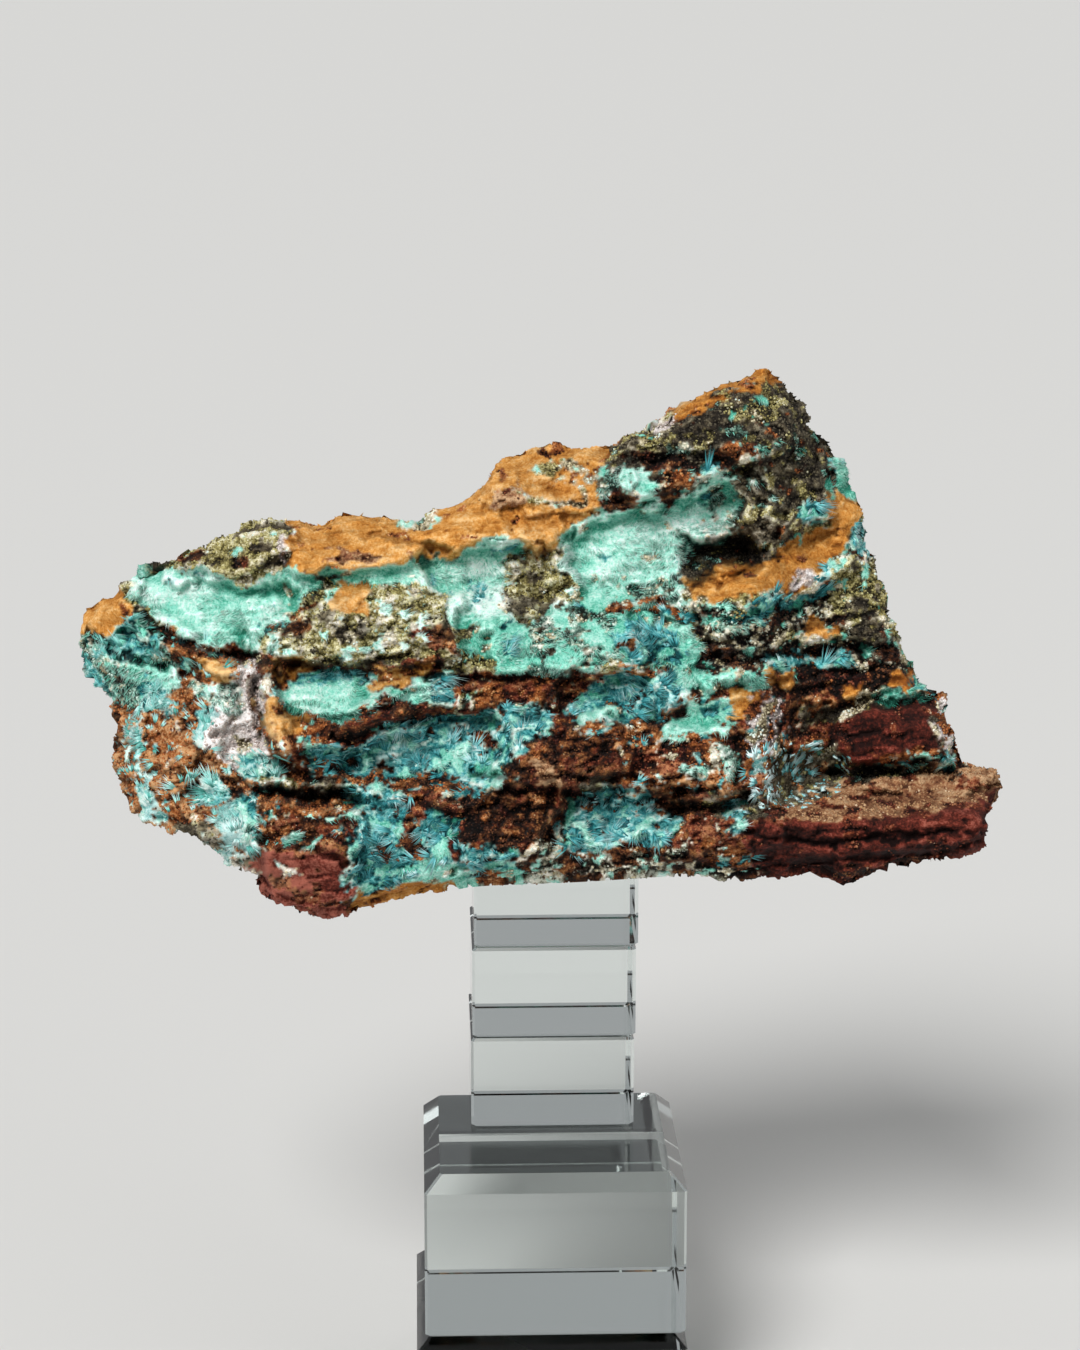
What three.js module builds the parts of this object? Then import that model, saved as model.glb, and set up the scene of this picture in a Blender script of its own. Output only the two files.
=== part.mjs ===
// A rough aurichalcite specimen standing on a stack of clear acrylic blocks, in millimetres.
// +Z is up, +X is to the right and the showy face looks along -Y. The origin is the middle of the
// underside of the lowest block, where the stand meets the table.
import * as THREE from 'three';

// Driving dimensions of the stand, from the table upwards.
const PLINTH = { width: 52, depth: 50, height: 19.7, chamfer: 3, x: -0.6, y: 0 };
const BASE = { width: 50, depth: 50, height: 32, chamfer: 3, x: 0, y: 0 };
const POST = { width: 32, depth: 30, height: 18.2, chamfer: 0.5, y: 17.6 };
const POST_SHIFTS = [0.4, 0.7, 1.1]; // each block of the post sits a little to the right of the last
const AIR_GAP = 0.3; // between pieces that only rest on one another

// Driving dimensions of the rock. Outlines are taken on the front plane as they look from EYE, a
// little above the rock, and a point at another depth is slid along its line of sight.
const EYE = new THREE.Vector3(-25, -664, 299);
const FRONT_PLANE = -20;
const SEAT_Z = 107.8; // the flat patch of the underside that rests on the post
const MESH_STEP = 3.7; // spacing of the points on the rock's faces
const STRATA_RISE = 0.07; // the layers climb this much for each millimetre to the right
const RIM_RADIUS = 6; // how far the front face rolls back at its edge
const SIDE_RINGS = 5; // rows of points round the sides, between the front face and the back

// The rock's outline, clockwise from its left tip: [x, z].
const OUTLINE = [
  [-87.5, 160.5], [-84, 163.5], [-80, 166], [-79, 168.7], [-73.5, 170], [-70, 172], [-66.5, 174.7],
  [-60, 175.8], [-58.5, 177.3], [-53, 179], [-45.5, 178.8], [-44, 177.7], [-42, 178], [-40, 180],
  [-35.5, 180], [-28, 178], [-25, 178.3], [-22, 180], [-18, 181], [-13.5, 184.2], [-13, 187],
  [-9.5, 190.2], [-6, 190.8], [-3, 192.2], [4.5, 192], [10, 190.5], [11, 193.5], [13, 195.3],
  [17, 195.6], [23, 199], [28, 202.5], [33, 204], [38, 206.7], [42, 203], [45.7, 199.3],
  [46.5, 195.5], [50, 193], [53, 189], [54.3, 183.5], [57, 181], [57.3, 176], [60, 170],
  [61.3, 165], [62.5, 160], [66, 151], [68.5, 146.8], [72.4, 145], [73, 141], [75.2, 137.5],
  [75.2, 132.6], [80, 131], [84.3, 130], [82.7, 127.5], [83.8, 123], [81.5, 120.5], [82, 117],
  [79.5, 113.2], [66, 111.2], [60, 109.3], [56, 106.9], [52.5, 106.6], [50.5, 110], [42, 109.4],
  [33, 108.2], [22, 110], [5, 109], [-15, 108.4], [-24, 106.8], [-34, 104.7], [-40, 102.6],
  [-46, 102.3], [-51, 103.6], [-55.5, 106.5], [-56.5, 110.6], [-62, 112.6], [-65, 117.5],
  [-73.5, 120.4], [-78.5, 122.2], [-80, 126.5], [-82.3, 131], [-82.3, 135.5], [-80.7, 140.5],
  [-83, 146], [-86.5, 150], [-88, 156],
];

// Ledges stand out of the front face and hollows are sunk into it. at is the middle, half the half
// length and half height, turn the slope in degrees. low and high say how far the lower and the
// upper edge stand out. sharp gives the width over which the lower and the upper edge fade.
const LEDGES = {
  oliveShelf: { at: [-37, 157.5], half: [19, 6.5], turn: 2, low: 5.5, high: 2.5, sharp: [1.5, 4] },
  leftRim: { at: [-61, 173], half: [13, 4.5], turn: 18, low: 4, high: 0, sharp: [2, 4] },
  leftKnob: { at: [-83, 161.5], half: [5, 4], turn: 20, low: 3, high: 1, sharp: [1.5, 3] },
  slantingLip: { at: [-68, 155], half: [12, 2.2], turn: -28, low: 3.5, high: 3, sharp: [1.5, 3] },
  bowlRim: { at: [-53, 143], half: [2.4, 9], turn: 6, low: 4, high: 4, sharp: [3, 3] },
  bowlLip: { at: [-40, 138.8], half: [13, 3], turn: 3, low: 5.5, high: 3.5, sharp: [1.5, 3] },
  middleLip: { at: [-26, 144], half: [10, 2.4], turn: 14, low: 4, high: 2, sharp: [1.5, 3] },
  fanFloor: { at: [-14, 126.8], half: [10, 2.4], turn: 4, low: 5, high: 2, sharp: [1.5, 3] },
  leftShelf: { at: [-33, 128.3], half: [12, 1.9], turn: -8, low: 4, high: 2, sharp: [1.5, 3] },
  redBlock: { at: [-46.5, 109.5], half: [9, 7.5], turn: 0, low: 6, high: 8, sharp: [2, 1.5] },
  redStep: { at: [-46, 121], half: [8.5, 4.5], turn: 0, low: 4, high: 5, sharp: [2, 1.5] },
  blueSlope: { at: [-28, 116], half: [10, 9], turn: 4, low: 3.5, high: 2, sharp: [3, 4] },
  brownBank: { at: [-9, 119.5], half: [8.5, 6], turn: 4, low: 4.5, high: 4, sharp: [2, 2] },
  brownBrow: { at: [1, 134.5], half: [12.5, 5.8], turn: 10, low: 8, high: 3, sharp: [1.5, 3] },
  greenMound: { at: [1, 157], half: [15, 7.5], turn: 4, low: 4.5, high: 1, sharp: [2, 5] },
  redLump: { at: [23.5, 132], half: [11, 6.8], turn: -4, low: 6.5, high: 3, sharp: [1.5, 3] },
  redToe: { at: [30, 116.5], half: [12, 4], turn: 8, low: 3.5, high: 3, sharp: [3, 2] },
  slab: { at: [62, 117], half: [24, 6], turn: 5, low: -1, high: 4, sharp: [5, 2] },
  slabStep: { at: [67, 114], half: [13, 2.4], turn: 4, low: 2.5, high: 3, sharp: [3, 1.5] },
  rightBlock: { at: [63, 136], half: [11, 5.6], turn: 2, low: 6, high: 5, sharp: [1.5, 1.5] },
  orangeStep: { at: [57, 146], half: [12, 2.2], turn: 2, low: 3, high: 2.5, sharp: [1.5, 3] },
  darkLayerLow: { at: [46, 149.5], half: [19, 2.4], turn: 3, low: 4, high: 2.5, sharp: [1.5, 2] },
  darkLayerTop: { at: [46, 157.5], half: [18, 3.4], turn: 4, low: 5, high: 3, sharp: [1.5, 2] },
  orangeShelf: { at: [40, 167], half: [14, 4], turn: 20, low: 6, high: 1.5, sharp: [1.5, 3] },
  darkKnob: { at: [43, 184], half: [6.5, 7.5], turn: 20, low: 6, high: 3, sharp: [2, 3] },
  darkBrow: { at: [29, 194], half: [20, 7.5], turn: 20, low: 9, high: 1, sharp: [2, 4] },
  ochreEave: { at: [-24, 174.5], half: [24, 3.6], turn: 8, low: 5, high: 0.5, sharp: [1.5, 5] },
  ochreHump: { at: [0, 186], half: [13, 5.5], turn: 4, low: 3, high: 0, sharp: [2, 4] },
};
const HOLLOWS = {
  leftHollow: { at: [-63, 161], half: [14.5, 6.8], turn: -10, low: -1.5, high: -4.5, sharp: [4, 3] },
  bowlPocket: { at: [-43, 146.5], half: [9, 4.2], turn: 2, low: -1, high: -3, sharp: [3, 1.5] },
  paleStrip: { at: [-57.5, 139], half: [3, 10], turn: 6, low: -3, high: -3, sharp: [4, 4] },
  fanPocket: { at: [-24, 134], half: [16, 6], turn: 6, low: -2, high: -7, sharp: [3, 1.5] },
  blockSlot: { at: [-45, 126.8], half: [8, 1.1], turn: -4, low: -6, high: -6, sharp: [1.5, 1.5] },
  ochreHollow: { at: [-12.5, 165.5], half: [10, 8], turn: 4, low: -2, high: -6, sharp: [4, 2] },
  greenHollow: { at: [18, 172], half: [16, 8.5], turn: 16, low: -2.5, high: -5.5, sharp: [4, 2] },
  darkVoid: { at: [30, 171.5], half: [6.5, 3.2], turn: 8, low: -7, high: -11, sharp: [1.5, 1.5] },
  shelfPocket: { at: [9, 144.2], half: [9, 4.4], turn: 2, low: -2, high: -6, sharp: [3, 1.5] },
  lowerPocket: { at: [11, 121.5], half: [12, 6], turn: -4, low: -2, high: -7, sharp: [4, 1.5] },
  lumpGap: { at: [29, 123], half: [9, 1.3], turn: 2, low: -6, high: -6, sharp: [1.5, 1.5] },
  rightNotch: { at: [47, 131], half: [6, 4], turn: 20, low: -5, high: -6, sharp: [2, 2] },
  blockGap: { at: [62, 130], half: [12, 1.4], turn: 3, low: -4, high: -4, sharp: [1.5, 1.5] },
};

// Crusts of aurichalcite needles, each grown together as one piece: the ground it covers as
// [x, z] on the front or the back face, and the reach of its tufts.
const CRUSTS = {
  aurichalcite_left_hollow: {
    reach: 1.6,
    ground: [[-77, 167], [-68, 167], [-58, 167], [-47, 170.5], [-46, 166], [-52, 161], [-54, 154],
      [-63, 153.5], [-71, 157.5]],
  },
  aurichalcite_left_end: {
    reach: 1.8,
    ground: [[-86, 156], [-79, 156], [-71, 151], [-69, 144], [-72, 138], [-73, 127], [-77, 127],
      [-77, 140], [-82, 147], [-85, 151]],
  },
  aurichalcite_bowl: {
    reach: 1.6,
    ground: [[-50.5, 148], [-42, 150.5], [-34, 148.5], [-34, 143.5], [-40, 142], [-48, 143]],
  },
  aurichalcite_fan_pocket: {
    reach: 2.8,
    ground: [[-49, 133], [-44, 136.5], [-35, 137], [-28, 139], [-12, 140.5], [-6, 141.5],
      [-9, 134], [-14, 129.5], [-24, 129.5], [-40, 131]],
  },
  aurichalcite_blue_slope: {
    reach: 2.2,
    ground: [[-38, 125.5], [-28, 124.5], [-19, 123.5], [-17, 117], [-8, 114], [-9, 110.5],
      [-22, 109.5], [-33, 108], [-38, 110]],
  },
  aurichalcite_middle_hollow: {
    reach: 1.6,
    ground: [[-38, 169.5], [-33, 170.5], [-25, 168], [-16, 173.5], [-7, 173.5], [-4, 166],
      [-5, 160], [-19, 158.5], [-21, 164], [-33, 165.5]],
  },
  aurichalcite_right_hollow: {
    reach: 1.7,
    ground: [[3, 177], [10, 181], [20, 181], [30, 186.5], [37, 186], [38, 178], [30, 175],
      [23, 171.5], [23, 165], [8, 163.5], [1, 164.5]],
  },
  aurichalcite_green_mound: {
    reach: 1.4,
    ground: [[-6, 158], [4, 161.5], [12, 160], [24, 156], [24, 149], [18, 152], [4, 150],
      [-4, 151]],
  },
  aurichalcite_shelf_fan: {
    reach: 2.8,
    ground: [[2.5, 141.5], [7, 147.5], [14, 147.5], [24, 149], [25, 143], [16, 140.5], [6, 140]],
  },
  aurichalcite_lower_pocket: {
    reach: 2.8,
    ground: [[0.5, 121.5], [4, 127], [13, 126.5], [22, 122], [23, 118.5], [14, 116.5], [4, 117]],
  },
  aurichalcite_right_notch: {
    reach: 2.4,
    ground: [[40, 133], [47, 139], [50, 134], [50, 128], [44, 125.5], [40, 127]],
  },
  aurichalcite_back_upper: {
    back: true, reach: 1.8,
    ground: [[-20, 176], [4, 184], [30, 188], [38, 176], [20, 164], [0, 160], [-18, 164]],
  },
  aurichalcite_back_lower: {
    back: true, reach: 2.2,
    ground: [[-58, 148], [-40, 152], [-26, 142], [-30, 126], [-46, 122], [-60, 130]],
  },
};

// Materials of the real pieces.
const ACRYLIC = { color: 0xe4ebe9, roughness: 0.05, metalness: 0, transparent: true, opacity: 0.35 };
const IRONSTONE = { color: 0x8a5434, roughness: 0.9, metalness: 0, flatShading: true };
const AURICHALCITE = { color: 0x7cc9c0, roughness: 0.6, metalness: 0, flatShading: true };

const clamp01 = (v) => Math.min(1, Math.max(0, v));
const mix = (a, b, t) => a + (b - a) * t;
const ease = (v) => clamp01(v) ** 2 * (3 - 2 * clamp01(v));

// Repeatable noise in 0 to 1 from three whole numbers.
function cellValue(i, j, k) {
  const s = Math.sin(i * 127.1 + j * 311.7 + k * 74.7) * 43758.5453;
  return s - Math.floor(s);
}

// Smooth noise from -1 to 1 over the plane; layer picks an independent pattern.
function smoothNoise(x, z, layer) {
  const i = Math.floor(x);
  const j = Math.floor(z);
  const u = ease(x - i);
  const v = ease(z - j);
  const low = mix(cellValue(i, j, layer), cellValue(i + 1, j, layer), u);
  const high = mix(cellValue(i, j + 1, layer), cellValue(i + 1, j + 1, layer), u);
  return mix(low, high, v) * 2 - 1;
}

// Broken layered rock: long along the layers and short across them.
function strataNoise(x, z, layer) {
  const level = z - STRATA_RISE * x;
  return 1.7 * smoothNoise(x / 19, level / 6.5, layer)
    + 1.1 * smoothNoise(x / 8, level / 3.1, layer + 1)
    + 0.6 * smoothNoise(x / 4.2, level / 4, layer + 2);
}

// How far (x, z) lies inside a closed outline; negative outside.
function insideDistance(outline, x, z) {
  let nearest = Infinity;
  let inside = false;
  outline.forEach(([ax, az], n) => {
    const [bx, bz] = outline[(n + 1) % outline.length];
    const t = clamp01(((x - ax) * (bx - ax) + (z - az) * (bz - az)) / ((bx - ax) ** 2 + (bz - az) ** 2));
    nearest = Math.min(nearest, Math.hypot(x - mix(ax, bx, t), z - mix(az, bz, t)));
    if ((az > z) !== (bz > z) && x < ax + ((z - az) * (bx - ax)) / (bz - az)) inside = !inside;
  });
  return inside ? nearest : -nearest;
}

// How much one ledge or hollow moves the face out at (x, z).
function reliefOf({ at, half, turn, low, high, sharp }, x, z) {
  const angle = THREE.MathUtils.degToRad(turn);
  const along = (x - at[0]) * Math.cos(angle) + (z - at[1]) * Math.sin(angle);
  const across = (z - at[1]) * Math.cos(angle) - (x - at[0]) * Math.sin(angle);
  const ends = ease((half[0] - Math.abs(along)) / 3 + 0.5);
  const below = ease((across + half[1]) / sharp[0] + 0.5);
  const above = ease((half[1] - across) / sharp[1] + 0.5);
  return ends * below * above * mix(low, high, clamp01((across / half[1] + 1) / 2));
}

// Depth of the front face as it is seen at (x, z).
function frontDepth(x, z) {
  let y = -19 + 0.26 * Math.max(0, z - 120) + 0.3 * Math.max(0, 116 - z);
  y += 15 * ease((x - 34) / 16) * ease((z - 119) / 8); // the right side is broken back above the slab
  y += 17 * clamp01((-52 - x) / 34) ** 1.6; // the left end turns away
  y += 0.35 * Math.max(0, z - 172) * ease((12 - x) / 12); // the ochre top slopes back
  const wx = x + 2 * smoothNoise(x / 11, z / 9, 40); // no edge runs straight
  const wz = z + 1.2 * smoothNoise(x / 12, z / 14, 50);
  for (const form of [...Object.values(LEDGES), ...Object.values(HOLLOWS)]) y -= reliefOf(form, wx, wz);
  y += strataNoise(x, z, 10);
  const edge = clamp01(1 - insideDistance(OUTLINE, x, z) / RIM_RADIUS);
  return y + RIM_RADIUS * (1 - Math.sqrt(1 - Math.min(edge, 0.98) ** 2));
}

// The point at depth y that is seen at (x, z) of the front plane.
function alongSight(x, z, y) {
  const picked = new THREE.Vector3(x, FRONT_PLANE, z);
  return EYE.clone().lerp(picked, (y - EYE.y) / (FRONT_PLANE - EYE.y));
}

// The back face: a rougher, smaller copy of the outline, kept below the lines of sight.
function backPoint(x, z) {
  const bow = 15 * ((x + 2) / 88) ** 2 + 0.1 * (z - 108);
  const broken = 1.5 * strataNoise(x * 0.8, z * 0.7, 70) + 5 * smoothNoise(x / 26, z / 17, 80);
  const y = Math.max(42 - bow + broken, frontDepth(x, z) + 17);
  const height = z < 158 ? 109.2 + 0.56 * (z - 102.3) : 140.4 + 1.0 * (z - 158);
  return new THREE.Vector3(x * 0.93 + 1.2 * smoothNoise(x / 9, z / 9, 90), y, height);
}

// Keeps the underside flat and level where the rock sits on the post.
function seatOnPost(point) {
  const overPost = Math.abs(point.x) < 21 && point.y > -12 && point.y < 44;
  if (overPost && point.z < SEAT_Z + 6) point.z = SEAT_Z;
  return point;
}

// Fills an outline with a lattice of near-equal triangles in rows along the layers. Points close to
// the outline are moved onto it, and triangles that cross it are cut along it.
function fillOutline(outline, step) {
  const xs = outline.map(([x]) => x);
  const zs = outline.map(([, z]) => z);
  const x0 = Math.min(...xs) - step;
  const z0 = Math.min(...zs) - step - STRATA_RISE * (Math.max(...xs) - x0);
  const rowHeight = (step * Math.sqrt(3)) / 2;
  const columns = Math.ceil((Math.max(...xs) - x0) / step) + 2;
  const rows = Math.ceil((Math.max(...zs) - z0) / rowHeight) + 2;
  const points = [];
  for (let j = 0; j < rows; j++) {
    for (let i = 0; i < columns; i++) {
      let x = x0 + (i + (j % 2) / 2) * step;
      let z = z0 + j * rowHeight + STRATA_RISE * (x - x0);
      let inside = insideDistance(outline, x, z);
      if (Math.abs(inside) < 0.38 * step) {
        const nudge = 0.05;
        const gx = (insideDistance(outline, x + nudge, z) - inside) / nudge;
        const gz = (insideDistance(outline, x, z + nudge) - inside) / nudge;
        x -= gx * inside;
        z -= gz * inside;
        inside = 0;
      }
      points.push({ x, z, inside });
    }
  }
  const cuts = new Map();
  const cutBetween = (a, b) => {
    const key = a < b ? `${a}/${b}` : `${b}/${a}`;
    if (!cuts.has(key)) {
      const [p, q] = [points[a], points[b]];
      const t = p.inside / (p.inside - q.inside);
      cuts.set(key, points.length);
      points.push({ x: mix(p.x, q.x, t), z: mix(p.z, q.z, t), inside: 0 });
    }
    return cuts.get(key);
  };
  const triangles = [];
  const addClipped = (corners) => {
    if (!corners.some((c) => points[c].inside > 0)) return;
    const kept = [];
    corners.forEach((c, n) => {
      const next = corners[(n + 1) % 3];
      if (points[c].inside >= 0) kept.push(c);
      if (points[c].inside * points[next].inside < 0) kept.push(cutBetween(c, next));
    });
    for (let n = 2; n < kept.length; n++) triangles.push([kept[0], kept[n - 1], kept[n]]);
  };
  for (let j = 0; j + 1 < rows; j++) {
    for (let i = 0; i + 1 < columns; i++) {
      const [a, b] = [j * columns + i, j * columns + i + 1];
      const [c, d] = [a + columns, b + columns];
      if (j % 2) {
        addClipped([a, b, d]);
        addClipped([a, d, c]);
      } else {
        addClipped([a, b, c]);
        addClipped([b, d, c]);
      }
    }
  }
  return { points, triangles };
}

// The rim of a set of triangles as one loop of point numbers, or null if it isn't one loop.
function rimOf(triangles) {
  const edges = new Set(triangles.flatMap((t) => t.map((p, n) => `${p}/${t[(n + 1) % 3]}`)));
  const next = new Map();
  for (const edge of edges) {
    const [a, b] = edge.split('/').map(Number);
    if (edges.has(`${b}/${a}`)) continue;
    if (next.has(a)) return { pinch: a };
    next.set(a, b);
  }
  const [start] = next.keys();
  const loop = [start];
  while (next.get(loop.at(-1)) !== start) loop.push(next.get(loop.at(-1)));
  return { loop, whole: loop.length === next.size };
}

// Collects points and triangles into one geometry.
class Surface {
  positions = [];
  faces = [];

  addPoint(point) {
    this.positions.push(point.x, point.y, point.z);
    return this.positions.length / 3 - 1;
  }

  addStrip(lower, upper) {
    lower.forEach((a, n) => {
      const b = lower[(n + 1) % lower.length];
      const [c, d] = [upper[n], upper[(n + 1) % upper.length]];
      this.faces.push(a, c, b, b, c, d);
    });
  }

  build() {
    const geometry = new THREE.BufferGeometry();
    geometry.setAttribute('position', new THREE.Float32BufferAttribute(this.positions, 3));
    geometry.setIndex(this.faces);
    geometry.computeVertexNormals();
    return geometry;
  }
}

// The rock: a front face, a back face, and rows of points round the sides that join their rims.
function makeRock(plan) {
  const surface = new Surface();
  const used = [...new Set(plan.triangles.flat())];
  const front = new Map();
  const back = new Map();
  for (const n of used) {
    const { x, z } = plan.points[n];
    front.set(n, alongSight(x, z, frontDepth(x, z)));
    back.set(n, seatOnPost(backPoint(x, z)));
  }
  const frontNumber = new Map(used.map((n) => [n, surface.addPoint(front.get(n))]));
  const backNumber = new Map(used.map((n) => [n, surface.addPoint(back.get(n))]));
  for (const [a, b, c] of plan.triangles) {
    surface.faces.push(frontNumber.get(a), frontNumber.get(b), frontNumber.get(c));
    surface.faces.push(backNumber.get(a), backNumber.get(c), backNumber.get(b));
  }
  const { loop } = rimOf(plan.triangles);
  const outward = loop.map((n, k) => {
    const before = plan.points[loop.at((k + loop.length - 3) % loop.length)];
    const after = plan.points[loop[(k + 3) % loop.length]];
    return new THREE.Vector3(after.z - before.z, 0, before.x - after.x).normalize();
  });
  let lower = loop.map((n) => frontNumber.get(n));
  for (let ring = 1; ring <= SIDE_RINGS; ring++) {
    const t = ring / (SIDE_RINGS + 1);
    const upper = loop.map((n, k) => {
      const point = front.get(n).clone().lerp(back.get(n), t);
      const { x, z } = plan.points[n];
      const rough = 1.2 * smoothNoise((x + z) / 7, point.y / 6, 20) + 0.8 * smoothNoise(x / 3, z / 3, 30 + ring);
      const bulge = 5 * Math.sin(Math.PI * t) * t + rough * Math.sin(Math.PI * t);
      point.addScaledVector(outward[k], bulge);
      const sight = alongSight(x, z, point.y); // nothing rises above what the outline hides
      if (outward[k].z > 0.3) point.z = Math.min(point.z, sight.z - 0.4);
      return surface.addPoint(seatOnPost(point));
    });
    surface.addStrip(lower, upper);
    lower = upper;
  }
  surface.addStrip(lower, loop.map((n) => backNumber.get(n)));
  return { geometry: surface.build(), front, back };
}

// The triangles whose middle is on the crust's ground, without the ones that hang on by a corner.
function crustTriangles(plan, ground, taken) {
  let kept = plan.triangles.filter((t) => {
    const x = (plan.points[t[0]].x + plan.points[t[1]].x + plan.points[t[2]].x) / 3;
    const z = (plan.points[t[0]].z + plan.points[t[1]].z + plan.points[t[2]].z) / 3;
    return insideDistance(ground, x, z) > 0 && !t.some((p) => taken.has(p));
  });
  for (;;) {
    const rim = rimOf(kept);
    if (rim.whole) return { triangles: kept, loop: rim.loop };
    const drop = rim.pinch ?? rim.loop[0];
    kept = kept.filter((t) => !t.includes(drop));
  }
}

// A crust follows the rock under it and rises in one pointed tuft on each triangle.
function makeCrust(plan, rock, { ground, reach, back }, taken, seed) {
  const { triangles, loop } = crustTriangles(plan, ground, taken);
  triangles.flat().forEach((n) => taken.add(n));
  const surface = new Surface();
  const out = back ? 1 : -1;
  const rim = new Set(loop);
  const used = [...new Set(triangles.flat())];
  const rockPoint = (n) => (back ? rock.back : rock.front).get(n);
  const lifted = (point, by) => point.clone().setY(point.y + out * by);
  const under = new Map(used.map((n) => [n, surface.addPoint(lifted(rockPoint(n), AIR_GAP))]));
  const over = new Map(used.map((n) => {
    const thick = rim.has(n) ? 0.5 : reach * mix(0.35, 0.6, cellValue(n, seed, 3));
    return [n, surface.addPoint(lifted(rockPoint(n), AIR_GAP + thick))];
  }));
  const turned = (a, b, c) => (back ? [a, c, b] : [a, b, c]);
  for (const [a, b, c] of triangles) {
    surface.faces.push(...turned(under.get(a), under.get(c), under.get(b)));
    const weights = [1, 1, 1].map((w, k) => w + cellValue(a, b + k, seed));
    const sum = weights[0] + weights[1] + weights[2];
    const tip = new THREE.Vector3();
    [a, b, c].forEach((n, k) => tip.addScaledVector(rockPoint(n), weights[k] / sum));
    const onRim = [a, b, c].filter((n) => rim.has(n)).length;
    const height = onRim > 1 ? 0.5 * reach : reach * mix(0.75, 1, cellValue(c, a, seed));
    const top = surface.addPoint(lifted(tip, AIR_GAP + height));
    surface.faces.push(...turned(over.get(a), over.get(b), top));
    surface.faces.push(...turned(over.get(b), over.get(c), top));
    surface.faces.push(...turned(over.get(c), over.get(a), top));
  }
  const [low, high] = [loop.map((n) => over.get(n)), loop.map((n) => under.get(n))];
  if (back) surface.addStrip(high, low);
  else surface.addStrip(low, high);
  return surface.build();
}

// A clear block: a chamfer all round its top edge and eased corners and bottom edge.
function makeBlock({ width, depth, height, chamfer }) {
  const surface = new Surface();
  const eased = 0.5;
  const ring = (inset, z) => {
    const [hx, hy] = [width / 2 - inset, depth / 2 - inset];
    const corners = [
      [hx, eased - hy], [hx, hy - eased], [hx - eased, hy], [eased - hx, hy],
      [-hx, hy - eased], [-hx, eased - hy], [eased - hx, -hy], [hx - eased, -hy],
    ];
    return corners.map(([x, y]) => surface.addPoint({ x, y, z }));
  };
  const rings = [ring(eased, 0), ring(0, eased), ring(0, height - chamfer), ring(chamfer, height)];
  for (let n = 1; n < rings.length; n++) surface.addStrip(rings[n], rings[n - 1]);
  for (let n = 2; n < 8; n++) {
    surface.faces.push(rings[0][0], rings[0][n], rings[0][n - 1]);
    surface.faces.push(rings[3][0], rings[3][n - 1], rings[3][n]);
  }
  return surface.build();
}

function addMesh(group, name, geometry, material) {
  const mesh = new THREE.Mesh(geometry, new THREE.MeshStandardMaterial(material));
  mesh.name = name;
  group.add(mesh);
  return mesh;
}

// The stand, from the table up: plinth block, base block and a post of three blocks.
const stand = new THREE.Group();
addMesh(stand, 'plinth_block', makeBlock(PLINTH), ACRYLIC).position.set(PLINTH.x, PLINTH.y, 0);
let top = PLINTH.height + AIR_GAP;
addMesh(stand, 'base_block', makeBlock(BASE), ACRYLIC).position.set(BASE.x, BASE.y, top);
top += BASE.height + AIR_GAP;
['post_block_lower', 'post_block_middle', 'post_block_upper'].forEach((name, n) => {
  addMesh(stand, name, makeBlock(POST), ACRYLIC).position.set(POST_SHIFTS[n], POST.y, top);
  top += POST.height + AIR_GAP;
});

// The specimen: the rock and the crusts that grew on it.
const specimen = new THREE.Group();
const plan = fillOutline(OUTLINE, MESH_STEP);
const rock = makeRock(plan);
addMesh(specimen, 'rock', rock.geometry, IRONSTONE);
const taken = { front: new Set(), back: new Set() };
Object.entries(CRUSTS).forEach(([name, crust], n) => {
  const side = crust.back ? taken.back : taken.front;
  addMesh(specimen, name, makeCrust(plan, rock, crust, side, n), AURICHALCITE);
});

const aurichalciteOnStand = new THREE.Group();
aurichalciteOnStand.add(stand, specimen);

export default aurichalciteOnStand;
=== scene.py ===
"""Looks of an aurichalcite specimen on its stand of clear acrylic blocks."""
import math

import bpy
import numpy as np
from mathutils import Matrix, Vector, kdtree, noise


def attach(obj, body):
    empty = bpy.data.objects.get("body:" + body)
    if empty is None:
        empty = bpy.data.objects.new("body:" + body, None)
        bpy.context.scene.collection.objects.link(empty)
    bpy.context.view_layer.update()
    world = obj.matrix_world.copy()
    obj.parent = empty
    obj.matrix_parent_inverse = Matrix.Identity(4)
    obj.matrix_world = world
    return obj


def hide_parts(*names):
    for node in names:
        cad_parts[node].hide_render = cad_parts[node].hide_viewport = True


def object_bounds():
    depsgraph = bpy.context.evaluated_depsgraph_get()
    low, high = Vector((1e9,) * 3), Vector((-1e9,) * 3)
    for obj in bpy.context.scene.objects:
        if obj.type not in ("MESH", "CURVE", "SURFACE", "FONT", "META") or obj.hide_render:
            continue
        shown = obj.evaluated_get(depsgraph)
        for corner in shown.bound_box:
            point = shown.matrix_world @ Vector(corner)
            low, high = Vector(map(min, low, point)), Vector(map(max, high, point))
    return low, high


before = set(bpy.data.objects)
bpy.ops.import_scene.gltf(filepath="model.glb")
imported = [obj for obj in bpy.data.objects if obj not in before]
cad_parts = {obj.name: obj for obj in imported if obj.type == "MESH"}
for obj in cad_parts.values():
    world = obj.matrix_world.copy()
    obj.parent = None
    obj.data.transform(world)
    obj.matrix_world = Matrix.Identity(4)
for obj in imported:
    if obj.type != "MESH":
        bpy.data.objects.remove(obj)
cad_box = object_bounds()
bpy.ops.object.select_all(action="DESELECT")


# The stand: five blocks of cast acrylic (PMMA) that are only stacked. Each is sawn, flame-polished
# and bevelled round its top edge, so it shows bright edges, clear faces and a few handling scuffs.
BLOCKS = ["plinth_block", "base_block", "post_block_lower", "post_block_middle", "post_block_upper"]
PER_MM = 1000  # shader scales count in metres, so this many wavelengths give one to the millimetre


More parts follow.
